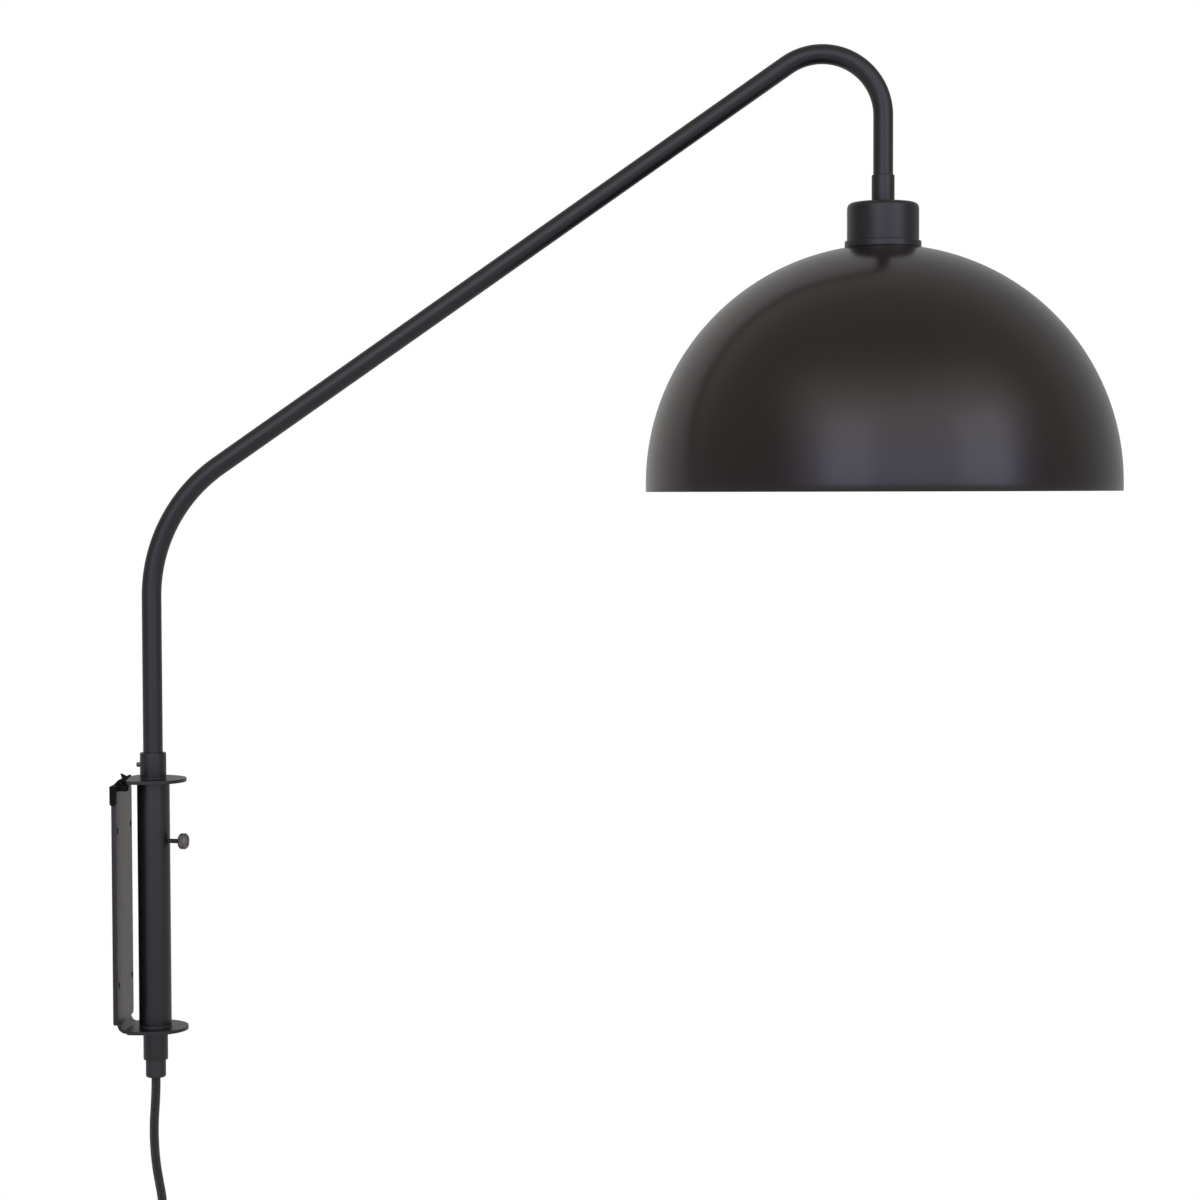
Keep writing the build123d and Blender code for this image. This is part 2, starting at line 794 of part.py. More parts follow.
def bulb_base():
    crest = base_diameter / 2
    thread = rope_thread(crest, base_foot, base_turns)
    thread_top = base_foot + base_turns * thread_pitch
    cone_top = bulb_tip - base_tip_height
    tip = base_tip_diameter / 2
    outline = Curve() + thread + [
        Line((0, base_foot), thread[0] @ 0),
        Line((crest, thread_top), (tip + 1, cone_top)),
        Line((tip + 1, cone_top), (tip, cone_top)),
        Line((tip, cone_top), (tip - 1, bulb_tip)),
        Line((tip - 1, bulb_tip), (0, bulb_tip)),
        Line((0, bulb_tip), (0, base_foot)),
    ]
    return Pos(shade_x, 0, 0) * revolve(Plane.XZ * make_face(outline), Axis.Z)


# ------------------------------------------------------------------ cord, switch, coil and plug

def turn_between(before, point, after):
    """The angle in degrees by which a route turns at a point."""
    return (Vector(*point) - Vector(*before)).get_angle(Vector(*after) - Vector(*point))


def route_radii(points):
    """The largest arc that each corner's shorter run allows."""
    radii = []
    for before, point, after in zip(points, points[1:], points[2:]):
        shorter = min(hypot(*(b - a for a, b in zip(before, point))),
                      hypot(*(b - a for a, b in zip(point, after))))
        radii.append(0.45 * shorter / tan(radians(turn_between(before, point, after)) / 2))
    return radii


def cord_drop():
    """The cord from the grip's foot down to the switch, and a little way into it."""
    points = [(x, 0, z) for x, z in cord_route]
    radii = route_radii(points)
    print("cord_drop arc radii:", [round(r, 1) for r in radii])
    path = FilletPolyline(*points, radius=radii)
    hanging = pipe(path, cord_radius)
    print("cord_drop length %.1f, volume over section times length %.4f"
          % (path.length, hanging.volume / (pi * cord_radius**2 * path.length)))
    return hanging + upright(cord_radius, switch_top - cord_entry, switch_top, switch_x)


def coil_edges():
    """The coil's centreline, as straights and arcs of up to a half turn.

    From the switch the cord turns aside on the lead-in arc and joins the outermost half turn
    at the angle that leaves the coil's centre straight below the switch. It winds in,
    half turn by half turn, on two centres, climbs a layer in one tilted half turn, winds out
    again and leaves downwards at the coil's side.
    """
    entry = asin(coil_lead_in_radius / (coil_lead_in_radius + coil_radius))
    swing = pi / 2 - entry
    start = Vector(switch_x, 0, switch_foot)
    bend_start = start - Vector(0, 0, coil_lead_in_straight)
    bend_centre = bend_start + Vector(0, coil_lead_in_radius, 0)

    def on_bend(angle):
        return bend_centre - coil_lead_in_radius * Vector(0, cos(angle), sin(angle))

    joined = on_bend(swing)
    across = Vector(0, sin(entry), cos(entry))
    ahead = Vector(0, cos(entry), -sin(entry))
    edges = [
        Line(start + Vector(0, 0, cord_entry), bend_start),
        ThreePointArc(bend_start, on_bend(swing / 2), joined),
    ]
    side = 1.0
    radius = coil_radius
    point = joined

    def half_turn(point, radius, side, climb=0.0):
        target = point - 2 * radius * side * across - Vector(climb, 0, 0)
        middle = (point + target) / 2 + (target - point).length / 2 * side * ahead
        return ThreePointArc(point, middle, target), target

    for _ in range(coil_half_turns):
        edge, point = half_turn(point, radius, side)
        edges.append(edge)
        side = -side
        radius -= coil_pitch / 2
    edge, point = half_turn(point, radius, side, coil_pitch)
    edges.append(edge)
    side = -side
    for _ in range(coil_half_turns - 1):
        radius += coil_pitch / 2
        edge, point = half_turn(point, radius, side)
        edges.append(edge)
        side = -side
    radius += coil_pitch / 2
    centre = point - radius * side * across

    def on_last(angle):
        return centre + radius * Vector(0, sin(angle), cos(angle))

    last = on_last(pi / 2)
    edges.append(ThreePointArc(point, on_last((entry + pi / 2) / 2), last))
    edges.append(Line(last, last - Vector(0, 0, coil_lead_out_straight + cord_entry)))
    return edges


def least_gap(edges, step=2.5):
    """The least gap of a wound tube to itself, measured between points along it."""
    points, lengths, run = [], [], 0.0
    for edge in edges:
        count = max(2, round(edge.length / step))
        points += [edge @ (i / count) for i in range(count)]
        lengths += [run + edge.length * i / count for i in range(count)]
        run += edge.length
    apart = 3 * cord_diameter
    return min(
        (p - q).length
        for i, p in enumerate(points)
        for j, q in enumerate(points[:i])
        if lengths[i] - lengths[j] > apart
    ) - cord_diameter


def cord_coil(edges):
    length = sum(edge.length for edge in edges)
    print("cord_coil length %.1f, least gap %.2f" % (length, least_gap(edges)))
    wire = Wire([edge.edges()[0] for edge in edges])
    coil = sweep(Plane(origin=edges[0] @ 0, z_dir=edges[0] % 0) * Circle(cord_radius), path=wire)
    print("cord_coil volume over section times length %.4f"
          % (coil.volume / (pi * cord_radius**2 * length)))
    return coil


def coil_centre():
    entry = asin(coil_lead_in_radius / (coil_lead_in_radius + coil_radius))
    drop = coil_lead_in_straight + (coil_lead_in_radius + coil_radius) * cos(entry)
    return Vector(switch_x, 0, switch_foot - drop)


def cord_tie():
    """A band round all the turns of the coil."""
    inner = coil_radius - (coil_half_turns + 1) * coil_pitch / 2 - cord_radius
    outer = coil_radius + cord_radius
    gap = free_gap
    window = Box(coil_pitch + cord_diameter + 2 * gap, coil_tie_width, outer - inner + 2 * gap)
    band = Box(coil_pitch + cord_diameter + 2 * (gap + coil_tie_thickness), coil_tie_width,
               outer - inner + 2 * (gap + coil_tie_thickness))
    band = fillet(band.edges().filter_by(Axis.Y), coil_tie_thickness) - window
    middle = coil_centre() - Vector(coil_pitch / 2, 0, 0)
    return Pos(*middle) * Rot(-coil_tie_turned, 0, 0) * Pos(0, 0, (inner + outer) / 2) * band


def switch_shell():
    outline = RectangleRounded(switch_depth, switch_width, switch_corner_radius)
    shell = Pos(switch_x, 0, switch_foot) * extrude(outline, switch_length)
    shell = fillet(shell.faces().filter_by(Plane.XY).edges(), switch_edge_radius)
    cavity = Pos(switch_x, 0, switch_middle) * Box(
        switch_depth - 2 * switch_wall, switch_width - 2 * switch_wall,
        switch_length - 2 * switch_end_block)
    shell = shell - cavity
    for foot in (switch_foot, switch_top - cord_entry):
        shell = shell - upright(cord_radius + slip_gap, foot, foot + cord_entry, switch_x)
    pin = Pos(switch_face - rocker_pin_inset, 0, switch_middle) * Rot(90, 0, 0) * Cylinder(
        rocker_pin_diameter / 2, switch_width - switch_wall)
    window = Pos(switch_face, 0, switch_middle) * Box(
        2 * switch_wall + 1, rocker_width + 2 * rocker_gap, rocker_length + 2 * rocker_gap)
    return shell - pin - window - screw_group()


def switch_front():
    half = block(switch_x, switch_face, -switch_width / 2, switch_width / 2, switch_foot, switch_top)
    return switch_shell() & half


def switch_back():
    half = block(switch_x - switch_depth / 2, switch_x, -switch_width / 2, switch_width / 2,
                 switch_foot, switch_top)
    return switch_shell() & half


def screw_group():
    """Two screws from the switch's back into its end blocks, on a diagonal."""
    across = switch_width / 2 - switch_corner_radius - switch_screw_head / 4
    along = (switch_length - switch_end_block) / 2
    back = switch_x - switch_depth / 2
    screws = []
    for side in (-1, 1):
        place = Pos(back, side * across, switch_middle + side * along) * Rot(0, 90, 0)
        head = Cylinder(switch_screw_head / 2, switch_screw_diameter / 2,
                        align=(Align.CENTER, Align.CENTER, Align.MIN))
        shank = Cylinder(switch_screw_diameter / 2, switch_screw_length,
                         align=(Align.CENTER, Align.CENTER, Align.MIN))
        screws.append(place * (head + shank))
    return Part() + screws


def switch_screws():
    """The two screws, each with a cross slot in its head."""
    slots = []
    for screw in screw_group().solids():
        middle = screw.bounding_box().center()
        back = screw.bounding_box().min.X
        for wide, high in ((switch_screw_head * 0.7, edge_break), (edge_break, switch_screw_head * 0.7)):
            slots.append(Pos(back, middle.Y, middle.Z) * Box(edge_break * 2, wide, high))
    return screw_group() - (Part() + slots)


def rocker_pin():
    return Pos(switch_face - rocker_pin_inset, 0, switch_middle) * Rot(90, 0, 0) * Cylinder(
        rocker_pin_diameter / 2, switch_width - switch_wall)


def switch_rocker():
    """The rocker, tilted to off: two wings that meet in a valley over the pin."""
    half = rocker_length / 2
    front = rocker_pin_inset + rocker_rise
    back = front - rocker_depth
    outline = Polyline([
        (back, 0, -half * 0.6),
        (front, 0, -half),
        (front - rocker_rise * 0.5, 0, 0),
        (front, 0, half),
        (back, 0, half * 0.6),
    ], close=True)
    body = extrude(make_face(outline), rocker_width / 2, both=True, dir=(0, 1, 0))
    bore = Rot(90, 0, 0) * Cylinder(rocker_pin_diameter / 2 + running_fit, rocker_width)
    return Pos(switch_face - rocker_pin_inset, 0, switch_middle) * Rot(0, -rocker_tilt, 0) * (body - bore)


def plug_place(edges):
    """The middle of the plug's upper end, where the cord goes in."""
    return (edges[-1] @ 1) + Vector(0, 0, cord_entry)


def plug_body(top):
    """A moulded body that widens downwards, with a grooved strain relief above it."""
    joint = -relief_length
    foot = joint - plug_height
    upper = Pos(0, 0, joint) * RectangleRounded(plug_top_depth, plug_top_width, plug_edge_radius * 2)
    middle = Pos(0, 0, joint - plug_height * 0.45) * RectangleRounded(
        plug_depth, plug_width, plug_edge_radius * 2)
    lower = Pos(0, 0, foot) * RectangleRounded(plug_depth, plug_width, plug_edge_radius * 2)
    body = loft([upper, middle], ruled=True) + loft([middle, lower], ruled=True)
    body = fillet(body.faces().sort_by(Axis.Z)[0].edges(), plug_edge_radius / 2)
    taper = (relief_diameter - relief_tip_diameter) / 2 / relief_length
    outline = [(0, joint), (relief_diameter / 2, joint)]
    step = relief_length / (relief_grooves + 1)
    for groove in range(relief_grooves):
        low = (groove + 1) * step - relief_groove_width / 2
        for height, cut in ((low, 0), (low, 1), (low + relief_groove_width, 1),
                            (low + relief_groove_width, 0)):
            outline.append((relief_diameter / 2 - taper * height - cut * relief_groove_depth,
                            joint + height))
    outline += [(relief_tip_diameter / 2, 0), (0, 0)]
    relief = turned(outline)
    body = Pos(*top) * (body + relief)
    bore = upright(cord_radius + slip_gap, top.Z - cord_entry, top.Z, top.X, top.Y)
    return body - bore - plug_blades(top)


def plug_blades(top):
    foot = top.Z - relief_length - plug_height
    blades = []
    for side in (-1, 1):
        y = top.Y + side * blade_spacing / 2
        blade = block(top.X - blade_width / 2, top.X + blade_width / 2,
                      y - blade_thickness / 2, y + blade_thickness / 2,
                      foot - blade_length, foot + blade_root)
        tip = blade.faces().sort_by(Axis.Z)[0].edges().filter_by(Axis.X)
        blades.append(chamfer(tip, blade_thickness / 3))
    return Part() + blades


# ------------------------------------------------------------------ the model

coil = coil_edges()
plug_top = plug_place(coil)
print("cord outside the arm %.0f" % (
    sum(edge.length for edge in coil) + switch_length - 2 * cord_entry
    + sum(hypot(b[0] - a[0], b[1] - a[1]) for a, b in zip(cord_route, cord_route[1:]))))

save("wall_plate", wall_plate())
save("bracket", bracket())
save("hanging_tie", hanging_tie())
save("hinge_barrel", hinge_barrel())
save("upper_bush", upper_bush())
save("lower_bush", lower_bush())
save("clamp_tip", clamp_tip())
save("thumbscrew", thumbscrew())
save("arm_tube", arm_tube())
save("thrust_washer", thrust_washer())
save("stop_collar", stop_collar())
save("collar_screw", collar_screw())
save("lower_sleeve", lower_sleeve())
save("cord_grip", cord_grip())
save("grip_seal", grip_seal())
save("inner_lead", inner_lead())
save("arm_ferrule", arm_ferrule())
save("nipple", nipple())
save("cap_nut", cap_nut())
save("socket_cap", socket_cap())
save("shade_ring", shade_ring())
save("dome_shade", dome_shade())
save("lampholder_body", lampholder_body())
save("lampholder_cover", lampholder_cover())
save("screw_shell", screw_shell())
save("centre_contact", centre_contact())
save("terminal_screws", terminal_screws())
save("lead_cores", lead_cores())
save("shade_nut", shade_nut())
save("bulb_glass", bulb_glass())
save("bulb_base", bulb_base())
save("cord_drop", cord_drop())
save("switch_front", switch_front())
save("switch_back", switch_back())
save("switch_screws", switch_screws())
save("rocker_pin", rocker_pin())
save("switch_rocker", switch_rocker())
save("cord_coil", cord_coil(coil))
save("cord_tie", cord_tie())
save("plug_body", plug_body(plug_top))
save("plug_blades", plug_blades(plug_top))
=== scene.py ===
"""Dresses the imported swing-arm wall sconce: finishes for its solids, and finer pieces over them.

Metres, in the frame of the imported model: the wall is the plane X = 0, the arm at rest runs
along +X and Z is up. Lengths written with MM are in millimetres.
"""

import math

import bmesh
import bpy
import numpy as np
from mathutils import Matrix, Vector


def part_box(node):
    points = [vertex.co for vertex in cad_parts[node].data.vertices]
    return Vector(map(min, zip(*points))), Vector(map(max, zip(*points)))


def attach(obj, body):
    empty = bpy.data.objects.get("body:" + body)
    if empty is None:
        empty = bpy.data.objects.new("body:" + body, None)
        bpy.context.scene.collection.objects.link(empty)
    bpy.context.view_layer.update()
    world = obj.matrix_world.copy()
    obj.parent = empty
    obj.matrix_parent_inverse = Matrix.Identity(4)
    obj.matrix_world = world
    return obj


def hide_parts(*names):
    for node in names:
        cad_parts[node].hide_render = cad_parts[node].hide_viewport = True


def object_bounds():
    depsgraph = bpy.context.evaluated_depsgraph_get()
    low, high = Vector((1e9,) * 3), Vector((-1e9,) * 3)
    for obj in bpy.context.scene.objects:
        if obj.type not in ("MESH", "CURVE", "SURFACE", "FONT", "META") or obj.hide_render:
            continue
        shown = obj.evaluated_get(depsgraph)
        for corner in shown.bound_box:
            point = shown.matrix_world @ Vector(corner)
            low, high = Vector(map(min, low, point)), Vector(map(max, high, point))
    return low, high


bl_info = {
    "name": "Swing-arm wall sconce",
    "version": (1, 0, 0),
    "blender": (4, 5, 0),
    "location": "View3D > Sidebar > Sconce",
    "description": "Builds a swing-arm wall sconce with a dome shade over its packed solids",
    "category": "Object",
}

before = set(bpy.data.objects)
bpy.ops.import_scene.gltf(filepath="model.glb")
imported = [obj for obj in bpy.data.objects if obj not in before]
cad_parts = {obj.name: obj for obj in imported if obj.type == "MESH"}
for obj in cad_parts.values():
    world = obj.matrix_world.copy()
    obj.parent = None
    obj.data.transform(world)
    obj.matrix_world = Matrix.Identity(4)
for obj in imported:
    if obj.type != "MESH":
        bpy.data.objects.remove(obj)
CAD_BOX = [list(corner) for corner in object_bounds()]
MM = 0.001


# ------------------------------------------------------------------ places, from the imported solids

def axis_of(node):
    """The middle of a node's box in X and Y, which is a turned piece's axis."""
    low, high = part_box(node)
    return np.array([(low.x + high.x) / 2, (low.y + high.y) / 2])


def heights(node):
    """The lowest and highest Z of a node."""
    low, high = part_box(node)
    return low.z, high.z


def radius_of(node):
    """Half of a node's width along Y, which is a turned piece's radius."""
    low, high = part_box(node)
    return (high.y - low.y) / 2


SWING_AXIS = axis_of("hinge_barrel")
SHADE_AXIS = axis_of("dome_shade")
CLAMP_HEIGHT = sum(heights("thumbscrew")) / 2
CLAMP_TURN = math.radians(-10.0)


# ------------------------------------------------------------------ sizes and colours

class SconceSizes(bpy.types.PropertyGroup):
    edge_round: bpy.props.FloatProperty(
        name="Edge rounding", description="Rounding of the folded sheet's edges",
        default=0.45 * MM, min=0.05 * MM, max=1.0 * MM, unit="LENGTH", precision=5)
    shade_wall: bpy.props.FloatProperty(
        name="Shade wall", description="Thickness of the spun shade",
        default=1.0 * MM, min=0.5 * MM, max=3.0 * MM, unit="LENGTH", precision=5)
    cap_round: bpy.props.FloatProperty(
        name="Cap rounding", description="Rounding of the cap's upper edge",
        default=4.4 * MM, min=1.5 * MM, max=8.0 * MM, unit="LENGTH", precision=5)
    ridge_depth: bpy.props.FloatProperty(
        name="Knurl depth", description="Depth of the knurl on the thumbscrew's head",
        default=0.22 * MM, min=0.0, max=0.6 * MM, unit="LENGTH", precision=5)
    ridge_count: bpy.props.IntProperty(
        name="Knurl ridges", description="Ridges round the thumbscrew's head",
        default=36, min=8, max=60)
    cord_diameter: bpy.props.FloatProperty(
        name="Cord", description="Diameter of the braided cord",
        default=6.0 * MM, min=3.0 * MM, max=9.0 * MM, unit="LENGTH", precision=5)
    braid_pitch: bpy.props.FloatProperty(
        name="Braid pitch", description="Length of cord in which one braid strand goes round once",
        default=14.0 * MM, min=4.0 * MM, max=40.0 * MM, unit="LENGTH", precision=5)


class SconceColours(bpy.types.PropertyGroup):
    coat: bpy.props.FloatVectorProperty(
        name="Black coat", description="Satin coat of the metal", subtype="COLOR", size=3,
        default=(0.0062, 0.0056, 0.0072), min=0.0, max=1.0)
    shade_coat: bpy.props.FloatVectorProperty(
        name="Shade coat", description="Outside of the shade", subtype="COLOR", size=3,
        default=(0.0072, 0.0056, 0.0048), min=0.0, max=1.0)
    shade_lining: bpy.props.FloatVectorProperty(
        name="Shade lining", description="Inside of the shade", subtype="COLOR", size=3,
        default=(0.80, 0.79, 0.76), min=0.0, max=1.0)
    cord: bpy.props.FloatVectorProperty(
        name="Cord cover", description="Braided cover of the cord", subtype="COLOR", size=3,
        default=(0.014, 0.0135, 0.015), min=0.0, max=1.0)
    moulding: bpy.props.FloatVectorProperty(
        name="Black mouldings", description="Grip, switch and plug", subtype="COLOR", size=3,
        default=(0.011, 0.011, 0.012), min=0.0, max=1.0)
    screw: bpy.props.FloatVectorProperty(
        name="Screws", description="Dark plated thumbscrew and set screw", subtype="COLOR", size=3,
        default=(0.17, 0.165, 0.16), min=0.0, max=1.0)
    bulb: bpy.props.FloatVectorProperty(
        name="Bulb", description="Frosted glass of the bulb", subtype="COLOR", size=3,
        default=(0.86, 0.86, 0.84), min=0.0, max=1.0)


# ------------------------------------------------------------------ shader building

class Reckoned:
    """A socket that carries one number, and can be reckoned with like a number."""

    def __init__(self, finish, socket):
        self.finish = finish
        self.socket = socket

    def _with(self, operation, *others):
        inputs = {i: value for i, value in enumerate((self, *others))}
        return self.finish.node("ShaderNodeMath", {"operation": operation}, inputs)

    def _after(self, operation, first):
        return self.finish.node("ShaderNodeMath", {"operation": operation}, {0: first, 1: self})

    def __add__(self, other):
        return self._with("ADD", other)

    __radd__ = __add__

    def __mul__(self, other):
        return self._with("MULTIPLY", other)

    __rmul__ = __mul__

    def __sub__(self, other):
        return self._with("SUBTRACT", other)

    def __rsub__(self, other):
        return self._after("SUBTRACT", other)

    def root(self):
        return self._with("SQRT")

    def sine(self):
        return self._with("SINE")

    def size(self):
        return self._with("ABSOLUTE")

    def most(self, other):
        return self._with("MAXIMUM", other)

    def over(self, low, high):
        """0 below low, 1 above high and a smooth rise between."""
        return self.finish.node(
            "ShaderNodeMapRange", {"interpolation_type": "SMOOTHSTEP"},
            {"Value": self, "From Min": low, "From Max": high}, "Result")


class Finish:
    """A material while it is being built."""

    def __init__(self, name, holder=None):
        self.data = holder or bpy.data.materials.new(name)
        self.data.use_nodes = True
        self.tree = self.data.node_tree
        self.tree.nodes.clear()

    def node(self, kind, settings=None, inputs=None, output=0):
        """Add a node: its settings first, then its inputs, each a value or a link."""
        made = self.tree.nodes.new(kind)
        for key, value in (settings or {}).items():
            setattr(made, key, value)
        for key, value in (inputs or {}).items():
            socket = made.inputs[key]
            if isinstance(value, Reckoned):
                self.tree.links.new(value.socket, socket)
            elif isinstance(value, bpy.types.NodeSocket):
                self.tree.links.new(value, socket)
            else:
                socket.default_value = value
        socket = made.outputs[output]
        return Reckoned(self, socket) if socket.type == "VALUE" else socket

    def place(self):
        return self.node("ShaderNodeTexCoord", output="Object")

    def moved(self, centre, scale=(1.0, 1.0, 1.0)):
        """Object coordinates from a centre, stretched."""
        shift = tuple(-c * s for c, s in zip(centre, scale))
        return self.node("ShaderNodeMapping", None, {
            "Vector": self.place(), "Location": shift, "Scale": scale})

    def axes(self, vector):
        """The three numbers of a vector."""
        parts = self.tree.nodes.new("ShaderNodeSeparateXYZ")
        self.tree.links.new(vector, parts.inputs[0])
        return [Reckoned(self, parts.outputs[i]) for i in range(3)]

    def noise(self, scale, detail=2.0, roughness=0.5, vector=None, output="Fac"):
        return self.node("ShaderNodeTexNoise", None, {
            "Vector": vector or self.place(), "Scale": scale, "Detail": detail,
            "Roughness": roughness}, output)

    def mix(self, factor, first, second):
        """A colour between two, each a colour or a link."""
        def full(colour):
            return colour if isinstance(colour, bpy.types.NodeSocket) else (*colour, 1.0)
        return self.node("ShaderNodeMix", {"data_type": "RGBA"}, {
            0: factor, 6: full(first), 7: full(second)}, 2)

    def bump(self, height, distance, strength=1.0, normal=None):
        inputs = {"Height": height, "Distance": distance, "Strength": strength}
        if normal is not None:
            inputs["Normal"] = normal
        return self.node("ShaderNodeBump", None, inputs)

    def surface(self, inputs):
        """End the material in one plain surface shader."""
        shader = self.node("ShaderNodeBsdfPrincipled", None, inputs)
        self.node_output(shader)
        return self.data

    def node_output(self, shader):
        end = self.tree.nodes.new("ShaderNodeOutputMaterial")
        self.tree.links.new(shader, end.inputs["Surface"])


def lighter(colour, factor):
    return tuple(min(1.0, c * factor) for c in colour)


# ------------------------------------------------------------------ finishes

def satin_coat(name, colour, roughness, grain=1.0):
    """Baked satin paint: a fine orange peel, faint cloudiness and a little uneven gloss."""
    f = Finish(name)
    cloud = f.noise(38.0, 3.0, 0.55)
    speck = f.noise(2600.0, 1.0)
    peel = f.noise(950.0, 2.0, 0.6)
    tint = f.mix(cloud.over(0.3, 0.7), lighter(colour, 0.90), lighter(colour, 1.14))
    tint = f.mix(speck.over(0.62, 0.78) * 0.35, tint, lighter(colour, 1.5))
    gloss = roughness - 0.03 + cloud * 0.05 + peel * 0.03
    return f.surface({
        "Base Color": tint, "Roughness": gloss, "Metallic": 0.0, "IOR": 1.5,
        "Normal": f.bump(peel, 0.00006 * grain, 0.55)})


def shade_coat(colours):
    """Semi-gloss black outside and a white lining inside, parted at the middle of the wall.

    The distance from the dome's centre, or from its axis below the centre, tells the two sides.
    """
    low, _ = heights("dome_shade")
    centre = (SHADE_AXIS[0], SHADE_AXIS[1], low + SKIRT)
    f = Finish("shade_coat")
    x, y, z = f.axes(f.moved(centre))
    up = z.most(0.0)
    distance = (x * x + y * y + up * up).root()
    wall = radius_of("dome_shade") - 0.5 * MM
    top = dome_seat() - 0.5 * MM - centre[2]
    outside = distance.over(wall - 0.05 * MM, wall + 0.05 * MM).most(z.over(top - 0.05 * MM, top + 0.05 * MM))
    cloud = f.noise(24.0, 3.0, 0.5)
    peel = f.noise(520.0, 2.0, 0.55)
    speck = f.noise(2200.0, 1.0)
    black = f.mix(cloud.over(0.3, 0.7), lighter(colours.shade_coat, 0.92), lighter(colours.shade_coat, 1.12))
    white = f.mix(cloud.over(0.2, 0.8), lighter(colours.shade_lining, 0.985), colours.shade_lining[:])
    white = f.mix(speck.over(0.66, 0.8) * 0.25, white, lighter(colours.shade_lining, 0.8))
    tint = f.mix(outside, white, black)
    gloss = outside * (0.20 + cloud * 0.04) + (1 - outside) * 0.48
    return f.surface({
        "Base Color": tint, "Roughness": gloss, "IOR": 1.5,
        "Normal": f.bump(peel, 0.00005, 0.35)})


def plated(name, colour, roughness, scratch_axis=2):
    """Plated metal with fine turning lines along one axis and a few dull spots."""
    f = Finish(name)
    stretch = [140.0, 140.0, 140.0]
    stretch[scratch_axis] = 5200.0
    lines = f.noise(1.0, 2.0, 0.6, f.moved((0.0, 0.0, 0.0), tuple(stretch)))
    spots = f.noise(420.0, 3.0, 0.6)
    tint = f.mix(spots.over(0.45, 0.75), colour, lighter(colour, 0.72))
    return f.surface({
        "Base Color": tint, "Metallic": 1.0, "Roughness": roughness + lines * 0.10 + spots * 0.06,
        "Normal": f.bump(lines, 0.00003, 0.5)})


def moulded(name, colour, roughness=0.5, grain=1.0, shine=0.5):
    """Moulded plastic with a fine spark-eroded grain and faint rubbed patches."""
    f = Finish(name)
    grain_height = f.noise(3200.0, 2.0, 0.6)
    rub = f.noise(60.0, 3.0, 0.55)
    tint = f.mix(rub.over(0.35, 0.75), colour, lighter(colour, 1.35))
    return f.surface({
        "Base Color": tint, "Roughness": roughness + 0.08 - rub * 0.12, "Specular IOR Level": shine,
        "Normal": f.bump(grain_height, 0.00004 * grain, 0.6)})


def glazed(name, colour):
    """Glazed ceramic: an even pale body under a wavy clear glaze."""
    f = Finish(name)
    wave = f.noise(90.0, 2.0)
    fleck = f.noise(1500.0, 2.0)
    tint = f.mix(fleck.over(0.6, 0.75) * 0.5, colour, lighter(colour, 0.86))
    return f.surface({
        "Base Color": tint, "Roughness": 0.16 + wave * 0.08, "Coat Weight": 0.6,
        "Normal": f.bump(wave, 0.0002, 0.3)})


def frosted_glass(colours):
    """The bulb's white frosted glass, a little greyer and smoother towards its neck."""
    low, high = heights("bulb_glass")
    f = Finish("frosted_glass")
    _, _, z = f.axes(f.place())
    neck = z.over(low + 0.55 * (high - low), high)
    frost = f.noise(2400.0, 2.0)
    tint = f.mix(neck * 0.7, colours.bulb[:], lighter(colours.bulb, 0.78))
    return f.surface({
        "Base Color": tint, "Roughness": 0.42 - neck * 0.12 + frost * 0.05, "IOR": 1.5,
        "Subsurface Weight": 0.25, "Subsurface Scale": 0.004,
        "Normal": f.bump(frost, 0.00002, 0.4)})


def braid(colours, sizes, length):
    """Braided cord cover, from the cord's own map: U along it and V around it.

    Two families of strands wind in opposite directions. Each is a wave of U and V, a strand
    stands up where its wave is high, and a slower wave of both says which family is on top.
    """
    f = Finish("braid")
    turns = length / sizes.braid_pitch
    strands = 8.0
    u, v, _ = f.axes(f.node("ShaderNodeTexCoord", output="UV"))
    whole = 2 * math.pi
    along = u * (turns * whole * strands)
    around = v * (whole * strands)
    left = (along + around).sine()
    right = (along - around).sine()
    over = ((along + around) * 0.5).sine() * ((along - around) * 0.5).sine()
    upper = over.over(-0.12, 0.12)
    strand = upper * left.size() + (1 - upper) * right.size()
    fibre = f.noise(3800.0, 2.0, 0.7)
    height = strand * 0.9 + fibre * 0.2
    # Painted shade and highlight: the colour follows the strands' height, darker in the gaps between strands
    # and lighter on their crowns.
    tint = f.mix(strand.over(0.1, 0.95), lighter(colours.cord, 0.25), lighter(colours.cord, 1.7))
    tint = f.mix(fibre.over(0.55, 0.8) * 0.35, tint, lighter(colours.cord, 2.6))
    return f.surface({
        "Base Color": tint, "Roughness": 0.74 + fibre * 0.2, "IOR": 1.45,
        "Sheen Weight": 0.25, "Sheen Roughness": 0.4,
        "Normal": f.bump(height, 0.0004, 1.0)})


def woven_strap(name, colour):
    """A soft loop strap: close ribs along Z and Y with fuzz between them."""
    f = Finish(name)
    x, y, z = f.axes(f.place())
    ribs = ((y + z) * 6500.0).sine() * ((y - z) * 6500.0).sine()
    fuzz = f.noise(3000.0, 3.0, 0.7)
    # Painted shade and highlight: the colour follows the ribs' height, darker in the grooves and lighter on
    # the crests, mixed with random fuzz tone.
    tint = f.mix((ribs * 0.5 + 0.5) * 0.7 + fuzz * 0.3, lighter(colour, 0.6), lighter(colour, 1.7))
    return f.surface({
        "Base Color": tint, "Roughness": 0.82 + fuzz * 0.12, "Sheen Weight": 0.3,
        "Normal": f.bump(ribs + fuzz, 0.00012, 0.6)})


# ------------------------------------------------------------------ surfaces

SKIRT = 5.4 * MM


def dome_seat():
    """The height of the ring's seat on the dome."""
    return heights("shade_ring")[0]


